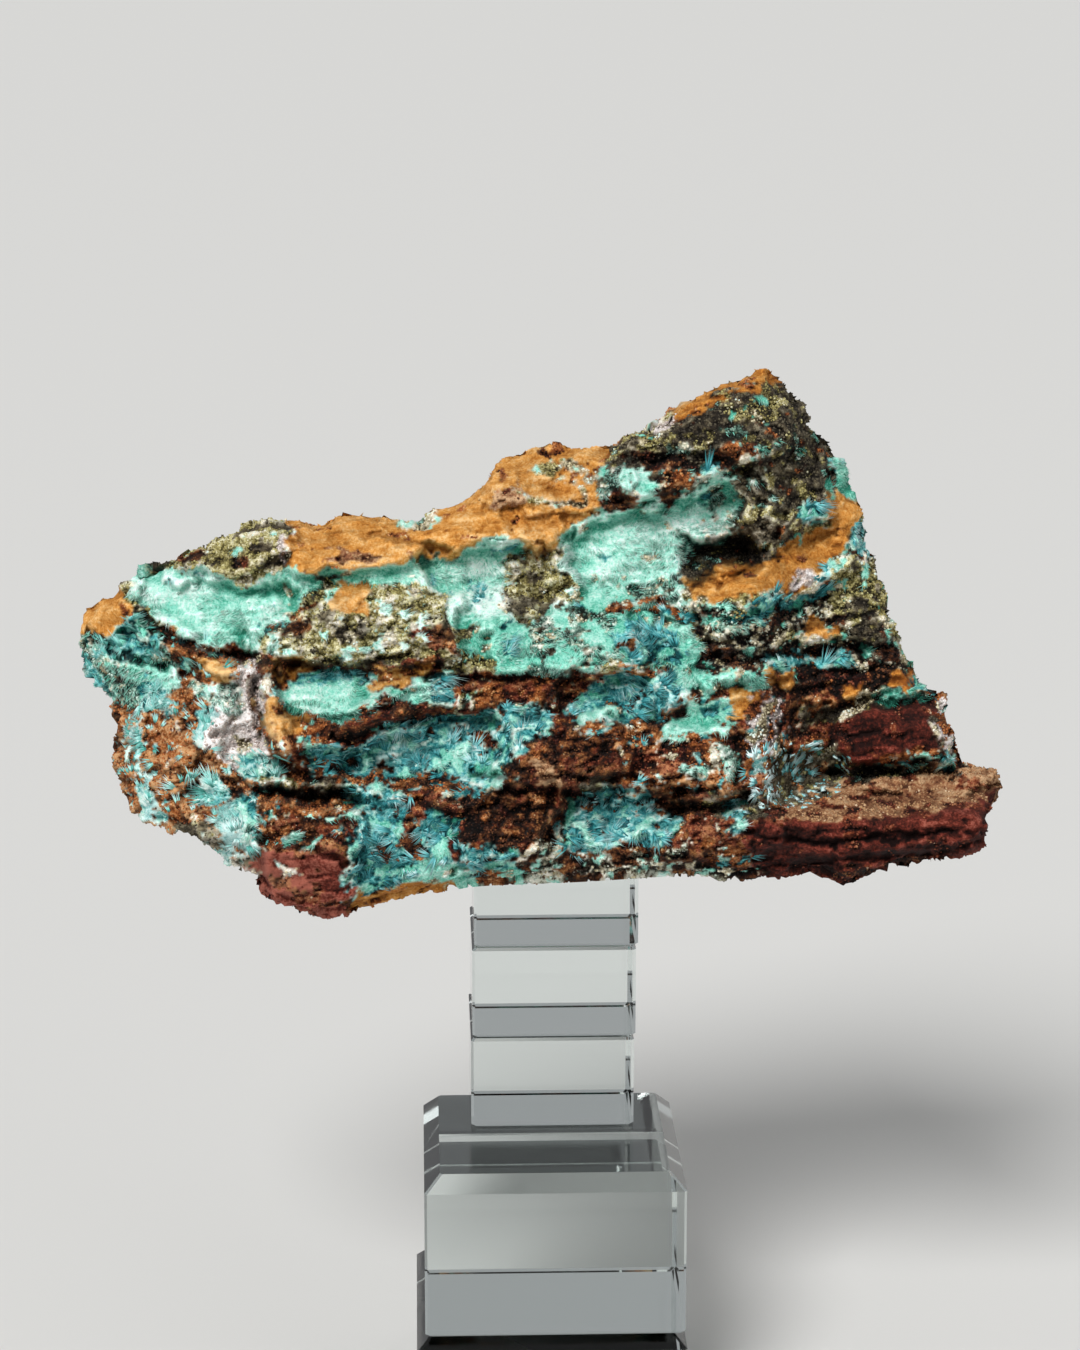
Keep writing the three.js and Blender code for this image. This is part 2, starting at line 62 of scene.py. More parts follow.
def srgb(hex_colour):
    parts = [int(hex_colour[i:i + 2], 16) / 255 for i in (1, 3, 5)]
    linear = [c / 12.92 if c <= 0.04045 else ((c + 0.055) / 1.055) ** 2.4 for c in parts]
    return (*linear, 1)


def add_node(tree, kind, settings=None, **inputs):
    """Adds a node. settings are its own properties; each input is a value or another node's socket."""
    node = tree.nodes.new(kind)
    for name, value in (settings or {}).items():
        setattr(node, name, value)
    for name, value in inputs.items():
        socket = node.inputs[int(name[1:])] if name[1:].isdigit() else node.inputs[name.replace("_", " ")]
        if isinstance(value, bpy.types.NodeSocket):
            tree.links.new(value, socket)
        else:
            socket.default_value = value
    return node


def add_ramp(tree, factor, stops):
    """A colour ramp through any number of stops, each a position and a colour."""
    ramp = add_node(tree, "ShaderNodeValToRGB", Fac=factor)
    elements = ramp.color_ramp.elements
    while len(elements) < len(stops):
        elements.new(0.5)
    for element, (position, colour) in zip(elements, stops):
        element.position = position
        element.color = srgb(colour)
    return ramp.outputs["Color"]


def add_attribute(tree, name):
    return add_node(tree, "ShaderNodeAttribute", {"attribute_name": name})


def new_material(name):
    material = bpy.data.materials.new(name)
    material.use_nodes = True
    tree = material.node_tree
    tree.nodes.clear()
    return material, tree


acrylic, tree = new_material("polished cast acrylic")
place = add_node(tree, "ShaderNodeTexCoord").outputs["Object"]
# Scuffs from handling: smears of 11 mm and less that only dull the polish.
smears = add_node(tree, "ShaderNodeTexNoise", Vector=place, Scale=0.09 * PER_MM, Detail=6.0, Roughness=0.7)
dull = add_node(tree, "ShaderNodeMapRange", Value=smears.outputs["Fac"], From_Min=0.5, From_Max=0.75,
                To_Min=0.015, To_Max=0.12)
clear = add_node(tree, "ShaderNodeBsdfPrincipled", Base_Color=srgb("#F4F8F7"), IOR=1.49,
                 Roughness=dull.outputs["Result"], Transmission_Weight=1.0)
tint = add_node(tree, "ShaderNodeVolumeAbsorption", Color=srgb("#C9D6D2"), Density=6.0)
add_node(tree, "ShaderNodeOutputMaterial", Surface=clear.outputs["BSDF"], Volume=tint.outputs["Volume"])
for name in BLOCKS:
    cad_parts[name].data.materials.clear()
    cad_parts[name].data.materials.append(acrylic)


# The rock: layered limonite and hematite, broken out of its vein by hammer, so every face is a
# fracture. Its front is worked out as a depth behind each point of the view, on the same ledges and
# hollows as the solid, with cracks, grain and pits that are too fine for it.
# Lengths are in millimetres in this section, the needles' and the grains'.
EYE = np.array([-25.0, -664.0, 299.0])  # where the view is from
FRONT_PLANE = -20.0  # the depth at which outlines and places are measured
FRONT_LIMIT = cad_box[0][1] * 1000 - 1.2  # the looks stand no further out in front than this
BACK_START = 30.0  # behind this depth the rock only breaks inwards
SEAT_LOW, SEAT_HIGH = np.array([-23, -13, 0]), np.array([23, 45, 109])
STRATA_RISE = 0.07  # how much the layers climb to the right
RIM_RADIUS = 6.0  # how gently the front turns to the sides at its outline
FRONT_TOLERANCE = 0.15  # a corner of the solid this near the worked-out front belongs to it
FRONT_CUTS = 7  # a point every 0.46 mm, finer than the grain
OTHER_CUTS = 2  # a point every 1.2 mm
CHIPS = 300  # ledges and scoops left by flakes
SPIKE_LIMIT = 0.7  # how far one point may stand off the average of those round it
OUTLINE = [
    (-87.5, 160.5), (-84, 163.5), (-80, 166), (-79, 168.7), (-73.5, 170), (-70, 172), (-66.5, 174.7),
    (-60, 175.8), (-58.5, 177.3), (-53, 179), (-45.5, 178.8), (-44, 177.7), (-42, 178), (-40, 180),
    (-35.5, 180), (-28, 178), (-25, 178.3), (-22, 180), (-18, 181), (-13.5, 184.2), (-13, 187),
    (-9.5, 190.2), (-6, 190.8), (-3, 192.2), (4.5, 192), (10, 190.5), (11, 193.5), (13, 195.3),
    (17, 195.6), (23, 199), (28, 202.5), (33, 204), (38, 206.7), (42, 203), (45.7, 199.3),
    (46.5, 195.5), (50, 193), (53, 189), (54.3, 183.5), (57, 181), (57.3, 176), (60, 170),
    (61.3, 165), (62.5, 160), (66, 151), (68.5, 146.8), (72.4, 145), (73, 141), (75.2, 137.5),
    (75.2, 132.6), (80, 131), (84.3, 130), (82.7, 127.5), (83.8, 123), (81.5, 120.5), (82, 117),
    (79.5, 113.2), (66, 111.2), (60, 109.3), (56, 106.9), (52.5, 106.6), (50.5, 110), (42, 109.4),
    (33, 108.2), (22, 110), (5, 109), (-15, 108.4), (-24, 106.8), (-34, 104.7), (-40, 102.6),
    (-46, 102.3), (-51, 103.6), (-55.5, 106.5), (-56.5, 110.6), (-62, 112.6), (-65, 117.5),
    (-73.5, 120.4), (-78.5, 122.2), (-80, 126.5), (-82.3, 131), (-82.3, 135.5), (-80.7, 140.5),
    (-83, 146), (-86.5, 150), (-88, 156),
]
# Ledges and hollows: middle, half length and half height, slope in degrees, how far the lower and
# the upper edge stand out, and the width over which each of the two fades.
FORMS = {
    "olive shelf": ((-37, 157.5), (19, 6.5), 2, 5.5, 2.5, (1.5, 4)),
    "left rim": ((-61, 173), (13, 4.5), 18, 4, 0, (2, 4)),
    "left knob": ((-83, 161.5), (5, 4), 20, 3, 1, (1.5, 3)),
    "slanting lip": ((-68, 155), (12, 2.2), -28, 3.5, 3, (1.5, 3)),
    "bowl rim": ((-53, 143), (2.4, 9), 6, 4, 4, (3, 3)),
    "bowl lip": ((-40, 138.8), (13, 3), 3, 5.5, 3.5, (1.5, 3)),
    "middle lip": ((-26, 144), (10, 2.4), 14, 4, 2, (1.5, 3)),
    "fan floor": ((-14, 126.8), (10, 2.4), 4, 5, 2, (1.5, 3)),
    "left shelf": ((-33, 128.3), (12, 1.9), -8, 4, 2, (1.5, 3)),
    "red block": ((-46.5, 109.5), (9, 7.5), 0, 6, 8, (2, 1.5)),
    "red step": ((-46, 121), (8.5, 4.5), 0, 4, 5, (2, 1.5)),
    "blue slope": ((-28, 116), (10, 9), 4, 3.5, 2, (3, 4)),
    "brown bank": ((-9, 119.5), (8.5, 6), 4, 4.5, 4, (2, 2)),
    "brown brow": ((1, 134.5), (12.5, 5.8), 10, 8, 3, (1.5, 3)),
    "green mound": ((1, 157), (15, 7.5), 4, 4.5, 1, (2, 5)),
    "red lump": ((23.5, 132), (11, 6.8), -4, 6.5, 3, (1.5, 3)),
    "red toe": ((30, 116.5), (12, 4), 8, 3.5, 3, (3, 2)),
    "slab": ((62, 117), (24, 6), 5, -1, 4, (5, 2)),
    "slab step": ((67, 114), (13, 2.4), 4, 2.5, 3, (3, 1.5)),
    "right block": ((63, 136), (11, 5.6), 2, 6, 5, (1.5, 1.5)),
    "orange step": ((57, 146), (12, 2.2), 2, 3, 2.5, (1.5, 3)),
    "dark layer low": ((46, 149.5), (19, 2.4), 3, 4, 2.5, (1.5, 2)),
    "dark layer top": ((46, 157.5), (18, 3.4), 4, 5, 3, (1.5, 2)),
    "orange shelf": ((40, 167), (14, 4), 20, 6, 1.5, (1.5, 3)),
    "dark knob": ((43, 184), (6.5, 7.5), 20, 6, 3, (2, 3)),
    "dark brow": ((29, 194), (20, 7.5), 20, 9, 1, (2, 4)),
    "ochre eave": ((-24, 174.5), (24, 3.6), 8, 5, 0.5, (1.5, 5)),
    "ochre hump": ((0, 186), (13, 5.5), 4, 3, 0, (2, 4)),
    "left hollow": ((-63, 161), (14.5, 6.8), -10, -1.5, -4.5, (4, 3)),
    "bowl pocket": ((-43, 146.5), (9, 4.2), 2, -1, -3, (3, 1.5)),
    "pale strip": ((-57.5, 139), (3, 10), 6, -3, -3, (4, 4)),
    "fan pocket": ((-24, 134), (16, 6), 6, -2, -7, (3, 1.5)),
    "block slot": ((-45, 126.8), (8, 1.1), -4, -6, -6, (1.5, 1.5)),
    "ochre hollow": ((-12.5, 165.5), (10, 8), 4, -2, -6, (4, 2)),
    "green hollow": ((18, 172), (16, 8.5), 16, -2.5, -5.5, (4, 2)),
    "dark void": ((30, 171.5), (6.5, 3.2), 8, -7, -11, (1.5, 1.5)),
    "shelf pocket": ((9, 144.2), (9, 4.4), 2, -2, -6, (3, 1.5)),
    "lower pocket": ((11, 121.5), (12, 6), -4, -2, -7, (4, 1.5)),
    "lump gap": ((29, 123), (9, 1.3), 2, -6, -6, (1.5, 1.5)),
    "right notch": ((47, 131), (6, 4), 20, -5, -6, (2, 2)),
    "block gap": ((62, 130), (12, 1.4), 3, -4, -4, (1.5, 1.5)),
}
# Open cracks between the layers: half width, depth and the line that each follows.
CRACKS = [
    (0.5, 3.0, [(-86, 157.5), (-80, 153.3), (-72, 151)]),
    (0.6, 3.5, [(-75.5, 160.5), (-70, 156), (-63, 153.2), (-55, 152.8)]),
    (0.5, 3.0, [(-55, 152), (-46, 151.2), (-36, 151), (-27, 153)]),
    (0.5, 2.5, [(-54.5, 151), (-56, 145), (-54, 138), (-50, 131.5), (-44, 129)]),
    (0.4, 2.0, [(-50, 142), (-43, 140.6), (-33, 142), (-27, 145.6), (-17, 148)]),
    (0.7, 4.0, [(-55, 127.3), (-47, 126.6), (-38, 127)]),
    (0.4, 2.0, [(-57, 120), (-53, 116.5), (-46, 116.3), (-39, 113)]),
    (0.4, 2.5, [(-24, 148.6), (-12, 148.4), (-2, 148.8), (4, 149)]),
    (0.4, 2.5, [(-16, 131), (-8, 128.6), (0, 129.3), (6, 129.3), (12, 129)]),
    (0.5, 2.5, [(13, 130), (20, 127), (30, 126.3)]),
    (0.4, 2.0, [(26, 150), (36, 151.6), (48, 153), (61, 154)]),
    (0.4, 2.0, [(28, 155), (40, 156.4), (52, 159), (61, 161)]),
    (0.4, 2.0, [(30, 147), (42, 147.6), (54, 149), (65, 150.5)]),
    (0.4, 2.0, [(22, 163.5), (16, 161), (22, 158.6), (34, 160.5)]),
    (0.6, 3.0, [(52, 130.2), (60, 130), (72, 132)]),
    (0.4, 2.0, [(53, 142), (61, 143), (71, 144)]),
    (0.4, 2.0, [(9, 189.5), (17, 189), (24, 190.4), (36, 187), (42, 178)]),
    (0.3, 1.2, [(-13, 181), (-8, 180.6), (-4, 181)]),
    (0.3, 1.2, [(-34, 176), (-29, 174.4), (-23, 174)]),
    (0.3, 1.5, [(36, 118.3), (50, 116.2), (64, 117.6), (80, 117.4)]),
    (0.3, 1.5, [(45, 112.4), (56, 113.2), (70, 113.6), (79, 115.4)]),
    (0.4, 1.5, [(4, 115.6), (16, 113.6), (30, 113), (40, 113.2)]),
]


def ease(value):
    value = np.clip(value, 0, 1)
    return value * value * (3 - 2 * value)


def mix(low, high, share):
    return low + (high - low) * share


def cell_value(i, j, k):
    wave = np.sin(i * 127.1 + j * 311.7 + k * 74.7) * 43758.5453
    return wave - np.floor(wave)


def smooth_noise(x, z, layer):
    i, j = np.floor(x), np.floor(z)
    u, v = ease(x - i), ease(z - j)
    low = mix(cell_value(i, j, layer), cell_value(i + 1, j, layer), u)
    high = mix(cell_value(i, j + 1, layer), cell_value(i + 1, j + 1, layer), u)
    return mix(low, high, v) * 2 - 1


def strata_noise(x, z, layer):
    level = z - STRATA_RISE * x
    return (1.7 * smooth_noise(x / 19, level / 6.5, layer) + 1.1 * smooth_noise(x / 8, level / 3.1, layer + 1)
            + 0.6 * smooth_noise(x / 4.2, level / 4, layer + 2))


def line_distance(points, x, z, closed=False):
    """How far each (x, z) is from a line; with closed, how far inside an outline, negative outside."""
    nearest = np.full(x.shape, np.inf)
    within = np.zeros(x.shape, bool)
    for (ax, az), (bx, bz) in zip(points, points[1:] + points[:1] if closed else points[1:]):
        t = np.clip(((x - ax) * (bx - ax) + (z - az) * (bz - az)) / ((bx - ax) ** 2 + (bz - az) ** 2), 0, 1)
        nearest = np.minimum(nearest, np.hypot(x - mix(ax, bx, t), z - mix(az, bz, t)))
        if az != bz:
            within ^= ((az > z) != (bz > z)) & (x < ax + (z - az) * (bx - ax) / (bz - az))
    return np.where(within, nearest, -nearest) if closed else nearest


def inside(outline, x, z, blur):
    """1 within an outline and 0 outside it, eased over blur millimetres at its edge."""
    return ease(line_distance(outline, x, z, closed=True) / blur + 0.5)


def relief_of(form, x, z, crisp=1.0):
    """How far one form moves the face out. A low crisp makes its edges steep, as a fresh break is."""
    (cx, cz), half, turn, low, high, sharp = form
    angle = math.radians(turn)
    along = (x - cx) * math.cos(angle) + (z - cz) * math.sin(angle)
    across = (z - cz) * math.cos(angle) - (x - cx) * math.sin(angle)
    shape = ease((half[0] - np.abs(along)) / (3 * crisp) + 0.5)
    shape = shape * ease((across + half[1]) / (sharp[0] * crisp) + 0.5)
    shape = shape * ease((half[1] - across) / (sharp[1] * crisp) + 0.5)
    return shape * mix(low, high, np.clip((across / half[1] + 1) / 2, 0, 1))


def front_depth(x, z, stray_x=0.0, stray_z=0.0, crisp=1.0):
    y = -19 + 0.26 * np.maximum(0, z - 120) + 0.3 * np.maximum(0, 116 - z)
    y += 15 * ease((x - 34) / 16) * ease((z - 119) / 8)
    y += 17 * np.clip((-52 - x) / 34, 0, 1) ** 1.6
    y += 0.35 * np.maximum(0, z - 172) * ease((12 - x) / 12)
    wx = x + 2 * smooth_noise(x / 11, z / 9, 40) + stray_x
    wz = z + 1.2 * smooth_noise(x / 12, z / 14, 50) + stray_z
    for form in FORMS.values():
        y -= relief_of(form, wx, wz, crisp)
    y += strata_noise(x, z, 10)
    edge = np.clip(1 - line_distance(OUTLINE, x, z, closed=True) / RIM_RADIUS, 0, 0.98)
    return y + RIM_RADIUS * (1 - np.sqrt(1 - edge ** 2))


def in_view(points):
    """Where each point is seen on the front plane."""
    t = (FRONT_PLANE - EYE[1]) / (points[:, 1] - EYE[1])
    return EYE[0] + (points[:, 0] - EYE[0]) * t, EYE[2] + (points[:, 2] - EYE[2]) * t


def at_depth(x, z, y):
    """The point at depth y that is seen at (x, z) of the front plane."""
    t = ((y - EYE[1]) / (FRONT_PLANE - EYE[1]))[:, None]
    return EYE + (np.stack([x, np.full(x.shape, FRONT_PLANE), z], 1) - EYE) * t


def fractal(points, size, seed, octaves):
    """Cloudy noise about -1 to 1 whose largest lumps are size millimetres across."""
    shift = Vector((17.3 * seed, -9.1 * seed, 5.7 * seed))
    return np.array([noise.fractal(Vector(p) + shift, 0.8, 2.1, octaves) for p in points / size])


def shards(points, size, seed):
    """Flat facets as rock breaks into, each with its own height and tilt, and how near their seams are."""
    scaled = points / np.array(size) + 50 * seed
    base = np.floor(scaled)
    first = np.full(len(points), np.inf)
    second = first.copy()
    height = np.zeros(len(points))
    for step in np.ndindex(3, 3, 3):
        i, j, k = (base + step - 1).T
        middle = np.stack([i + cell_value(i, j, k), j + cell_value(j, k, i + 5), k + cell_value(k, i, j + 9)],
                          axis=1)
        away = scaled - middle
        distance = np.sqrt((away ** 2).sum(axis=1))
        tilt = np.stack([cell_value(i, k, j + n) for n in (13, 17, 23)], 1) - 0.5
        facet = cell_value(j, i, k + 29) * 2 - 1 + 2.4 * (away * tilt).sum(axis=1)
        closer = distance < first
        second = np.where(closer, first, np.minimum(second, distance))
        first = np.where(closer, distance, first)
        height = np.where(closer, facet, height)
    return height, second - first


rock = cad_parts["rock"].copy()
rock.data = rock.data.copy()
rock.name = "ironstone"
bpy.context.collection.objects.link(rock)
bpy.context.view_layer.objects.active = rock
rock.select_set(True)
bpy.ops.object.mode_set(mode="EDIT")
bpy.ops.mesh.select_all(action="SELECT")
bpy.ops.mesh.remove_doubles(threshold=2e-6)
bpy.ops.object.mode_set(mode="OBJECT")


def points_of(piece):
    flat = np.empty(len(piece.data.vertices) * 3, np.float32)
    piece.data.vertices.foreach_get("co", flat)
    return flat.reshape(-1, 3).astype(float) * 1000


def corners_of(piece):
    """The point numbers of a piece's faces, cut into triangles."""
    piece.data.calc_loop_triangles()
    flat = np.empty(len(piece.data.loop_triangles) * 3, np.int32)
    piece.data.loop_triangles.foreach_get("vertices", flat)
    return flat.reshape(-1, 3)


def subdivide_where(piece, chosen, cuts):
    bpy.ops.object.mode_set(mode="EDIT")
    bpy.ops.mesh.select_mode(type="FACE")
    bpy.ops.mesh.select_all(action="DESELECT")
    bpy.ops.object.mode_set(mode="OBJECT")
    piece.data.polygons.foreach_set("select", chosen)
    bpy.ops.object.mode_set(mode="EDIT")
    bpy.ops.mesh.subdivide(number_cuts=cuts)
    bpy.ops.object.mode_set(mode="OBJECT")


# The front face is cut finely, the rest coarsely.
points = points_of(rock)
seen_x, seen_z = in_view(points)
on_front = np.abs(points[:, 1] - front_depth(seen_x, seen_z)) < FRONT_TOLERANCE
front_faces = np.array([all(on_front[v] for v in face.vertices) for face in rock.data.polygons])
subdivide_where(rock, front_faces, FRONT_CUTS)
points = points_of(rock)
on_front = np.zeros(len(points), bool)
for face in rock.data.polygons:
    if face.select:
        on_front[list(face.vertices)] = True
subdivide_where(rock, ~np.array([face.select for face in rock.data.polygons]), OTHER_CUTS)
points = points_of(rock)
on_front = np.concatenate([on_front, np.zeros(len(points) - len(on_front), bool)])

# Minerals, painted over the red rock in this order, each on the ground where it grew: [x, z] as seen.
ZONES = [
    # The crumbly ground of the upper half, and the bottom and left end.
    ("olive", [(-84, 153), (-84, 190), (60, 215), (66, 186), (64, 166), (24, 150), (-20, 152), (-56, 156)]),
    ("pepper", [(-6, 122), (0, 120), (3, 116), (24, 116), (28, 112), (46, 112), (46, 105), (-8, 105)]),
    ("rust", [(-90, 150), (-62, 150), (-56, 134), (-54, 110), (-66, 110), (-86, 120)]),
    ("sage", [(-92, 158), (-84, 158.5), (-77, 161), (-70, 156), (-68, 150), (-70, 146), (-75, 144),
              (-83, 143.5), (-92, 147)]),
    ("teal", [(-92, 153), (-84, 152.5), (-82, 146), (-92, 145)]),
    ("teal", [(-84.5, 157), (-78, 160.5), (-72.5, 156.5), (-76, 152.5), (-84, 153.5)]),
    ("mint", [(-79, 152.5), (-71, 151.5), (-69.5, 147), (-77, 146.5)]),
    ("rust", [(-84, 145.4), (-78.5, 144), (-76.5, 140), (-83, 139)]),
    ("teal", [(-78, 148), (-73, 147.5), (-71, 143), (-72, 132.6), (-73.4, 130.2), (-78, 130.4), (-76, 134),
              (-77.4, 136), (-76.4, 141)]),
    ("teal", [(-67.2, 142.4), (-63, 143.4), (-60.6, 136), (-67.4, 135.8)]),
    ("pink", [(-61.5, 152.5), (-56.5, 153), (-54.2, 146), (-53.6, 140), (-50.5, 133), (-56, 131),
              (-63, 131.4), (-64, 137), (-63.6, 143)]),
    ("sage", [(-67.5, 147.2), (-61, 149), (-56, 147), (-57, 143.6), (-62, 143), (-66, 144)]),
    ("teal", [(-78, 128.6), (-73.5, 128), (-69.6, 129), (-69.8, 123), (-71, 121), (-77.4, 122.4)]),
    ("teal", [(-67.8, 129.4), (-62, 130), (-61.4, 125.4), (-66.6, 125.4)]),
    ("rust", [(-88, 143), (-82.4, 143.6), (-81.4, 137), (-83.4, 131), (-82, 124), (-88, 122)]),
    ("rust", [(-76.4, 143), (-71.6, 143), (-71, 137.6), (-67.6, 135.4), (-61.6, 134.6), (-60, 131.4),
              (-64, 129.6), (-70, 130.8), (-76.4, 131), (-75.4, 136)]),
    ("rust", [(-73.4, 128.4), (-68, 129.6), (-67.6, 124), (-62.6, 124), (-63, 120), (-69.6, 119),
              (-74, 121.6)]),
    ("rust", [(-82, 129.6), (-78.6, 129), (-78, 125.4), (-81.4, 125)]),
    ("teal", [(-62.4, 124.6), (-57, 126.6), (-54.8, 122), (-55, 114), (-60, 116.6), (-61, 112), (-66, 112),
              (-64.6, 118.6), (-61.6, 119.6)]),
    ("dark", [(-72, 121.4), (-62.4, 120.6), (-62.6, 117), (-68, 115)]),
    ("cream", [(-61, 116), (-55, 114), (-55.4, 109), (-62, 110)]),
    ("dark", [(-60.2, 114.8), (-56, 114.4), (-56.4, 112.6), (-59.8, 113)]),
    ("teal", [(-58.6, 134.4), (-53.4, 135), (-49, 128), (-49.6, 126.6), (-54, 127), (-58, 130)]),
    ("cream", [(-56.4, 129.4), (-50, 130.6), (-48.6, 127.6), (-54, 127.2)]),
    ("dark", [(-56, 122), (-51.6, 121.6), (-51.6, 117), (-55.6, 117)]),
    # Hollows and rims along the top of the left half.
    ("olive", [(-74, 167), (-72, 175), (-60, 180), (-50, 183), (-44, 180), (-45, 173), (-50, 171),
               (-56, 167), (-66, 168)]),
    ("pink", [(-52, 176), (-45, 176.6), (-44.6, 171), (-50, 170)]),
    ("olive", [(-55, 155), (-53, 161), (-45, 163.5), (-33, 163), (-28, 165.5), (-22, 165), (-19.5, 157),
               (-22, 153), (-36, 151.6), (-52, 152)]),
    ("olive", [(-19.5, 158), (-14, 156), (-8, 158), (-7, 172), (-1, 173), (3, 178), (8, 164), (4, 158),
               (-4, 150), (-21, 149)]),
    ("mint", [(-46, 171), (-37, 170.6), (-33, 172), (-24, 169), (-17, 174.5), (-9, 177), (-5.6, 172),
              (-6, 166), (-5, 160), (-12, 157.6), (-19, 158), (-21, 164.5), (-29, 166), (-38, 164)]),
    ("mint", [(-79.5, 169.5), (-68, 169), (-56, 166.5), (-49, 169.5), (-45, 171), (-43, 166), (-48.6, 162.4),
              (-52.4, 157.6), (-54.4, 153.8), (-63, 154.4), (-71, 157.8), (-77, 163)]),
    ("mint", [(2, 166), (1, 175), (7, 181), (16, 180), (25, 184), (31, 187), (37, 187), (40, 184),
              (39, 178), (36, 175), (26, 172.5), (24, 165), (24, 160), (8, 160)]),
    ("mint", [(-19, 155), (-8, 161), (6, 163), (24, 164), (26, 156), (27, 149), (18, 151), (5, 149),
              (-8, 149.5)]),
    ("olive", [(-8, 158), (-8.6, 171), (-3, 174), (1, 170), (2, 164), (0, 159)]),
    ("sage", [(-6, 156), (-3, 163), (4, 161.6), (11, 160), (15, 155.4), (13, 151), (5, 149), (-6, 149.6)]),
    ("sage", [(12, 168), (18, 166), (25, 168), (24, 163.4), (17, 161), (11, 163)]),
    ("sage", [(5.6, 180), (9, 188.6), (18, 188), (26, 190), (35, 187.4), (31, 186.4), (25, 183.6),
              (16, 180.6)]),
    ("sage", [(28, 186), (34, 187), (36, 181), (33, 175), (28, 175)]),
    ("ochre", [(-90, 158), (-88, 164), (-82, 168), (-78, 164), (-78, 160), (-83, 157)]),
    ("ochre", [(-49, 182), (-38, 184), (-20, 185), (-13, 192), (-4, 197), (9.5, 195), (9, 187), (7, 181),
               (3, 177), (-1, 171), (-5, 172), (-8, 175), (-12, 176), (-16, 173), (-19, 171.2),
               (-24, 170), (-30, 169.6), (-36, 169), (-43, 168.2), (-49, 170), (-50, 174)]),
    ("tan", [(-42, 173.4), (-34, 172.8), (-31, 172), (-34, 170.6), (-42, 169.8)]),
    ("tan", [(-12, 184), (-6, 184.6), (-4, 182), (-7, 180), (-11, 180.6)]),
    ("cream", [(-7, 184.2), (-5, 182.4), (-1, 181.8), (3, 182.8), (4, 185), (5.4, 185), (3.6, 181.8),
               (0, 180.8), (-4.6, 181.2), (-7.4, 183.4)]),
    ("cream", [(-4, 187.4), (0, 188), (4.6, 186.8), (8.6, 187.4), (8.6, 185.6), (2, 185.8), (-3, 186)]),
    ("cream", [(-30, 179), (-23, 180), (-22, 178), (-24, 176.4), (-28, 177.6)]),
    ("ochre", [(-41, 161.4), (-34.4, 161), (-32.5, 164), (-34, 165.8), (-39, 165.8)]),
    ("rust", [(-74, 157.6), (-71.5, 157.8), (-57, 152.2), (-57.6, 148.4), (-63.5, 147.2), (-68, 151)]),
    ("ochre", [(-66.6, 152.4), (-63, 152.8), (-59.6, 150.6), (-60, 148.4), (-63.6, 147.6)]),
    ("rust", [(-53.4, 158.4), (-51, 160.8), (-44.4, 163), (-44.4, 161.4), (-50, 159.4), (-52, 156)]),
    ("brown", [(-70.5, 170.2), (-65.5, 170.5), (-65.5, 173.6), (-70, 173.4)]),
    ("brown", [(-58.6, 170.6), (-55, 170.8), (-55, 173), (-58, 173.2)]),
    ("brown", [(-49, 159.8), (-45.8, 160), (-45.6, 157.4), (-48.6, 157)]),
    ("brown", [(-27, 157), (-20, 157.6), (-18.6, 153.4), (-24, 153)]),
    # The bowl, its rim and the fan pocket under it.
    ("brown", [(-54.6, 153), (-50.4, 153.6), (-50, 147.6), (-54, 147)]),
    ("ochre", [(-51.4, 152), (-44, 152.4), (-45, 149.6), (-51, 148.6)]),
    ("rust", [(-54.6, 149), (-51, 148), (-49.6, 142.6), (-46, 141.6), (-36, 141.2), (-34, 139), (-42, 136.6),
              (-51, 135.6), (-49.6, 131), (-52, 132), (-55, 140)]),
    ("ochre", [(-54.4, 145), (-51.6, 145), (-50.6, 141.6), (-46, 141.2), (-46, 138.4), (-52, 137.4),
               (-54.6, 141)]),
    ("cream", [(-54.8, 149.6), (-52.6, 149.6), (-52.6, 145.4), (-54.4, 145.4)]),
    ("brown", [(-41, 140.6), (-34, 141), (-30, 142.4), (-28, 138.4), (-36, 135.8), (-43, 136)]),
    ("mint", [(-50.6, 146), (-47, 149), (-41, 150.8), (-35, 150.4), (-35.4, 146.4), (-31, 145.4),
              (-33, 142.4), (-40, 141.2), (-49.6, 142)]),
    ("teal", [(-48, 148.4), (-41, 150.8), (-35, 150.4), (-35.6, 148.2), (-42, 147.6)]),
    ("ochre", [(-36, 148.6), (-34.4, 151), (-24, 151), (-24, 148.6), (-31, 147.6), (-33.4, 145.6),
               (-35.4, 146.4)]),
    ("mint", [(-32, 147), (-23, 148.4), (-22.6, 144.8), (-31, 144)]),
    ("teal", [(-22.8, 148.8), (-18.4, 149.4), (-18, 144.4), (-22.8, 143.4)]),
    ("brown", [(-31, 145), (-20, 143.6), (-19.4, 139), (-30, 138.8)]),
    ("red", [(-20, 147.6), (-8.4, 148.4), (-3, 148.4), (3.4, 147.6), (1.6, 141.6), (-6, 142.4), (-9, 143.6),
             (-19, 140.6)]),
    ("cream", [(-18.6, 145), (-14, 147.4), (-13, 146.6), (-17.6, 143.8)]),
    ("teal", [(-49, 133), (-47, 136.4), (-38, 136.2), (-33, 137.8), (-30, 140.4), (-22, 140.6), (-16, 141.4),
              (-11, 142.6), (-3, 143.6), (-1.6, 140), (-3, 135), (-8, 133), (-8.6, 128), (-13, 126.4),
              (-17, 126.6), (-21, 130), (-35, 130), (-41, 129.6), (-42, 132.2)]),
    ("red", [(-17.6, 137.6), (-12.4, 138.2), (-12.4, 135.4), (-17, 135.2)]),
    ("mint", [(-14.4, 131.6), (-8, 132.4), (-7.4, 128.6), (-13.6, 126.8)]),
    ("rust", [(-49.4, 132.4), (-41, 132.6), (-36.6, 130.2), (-20, 130.6), (-16, 127.6), (-20, 126.4),
              (-36, 127.4), (-41, 129.4)]),
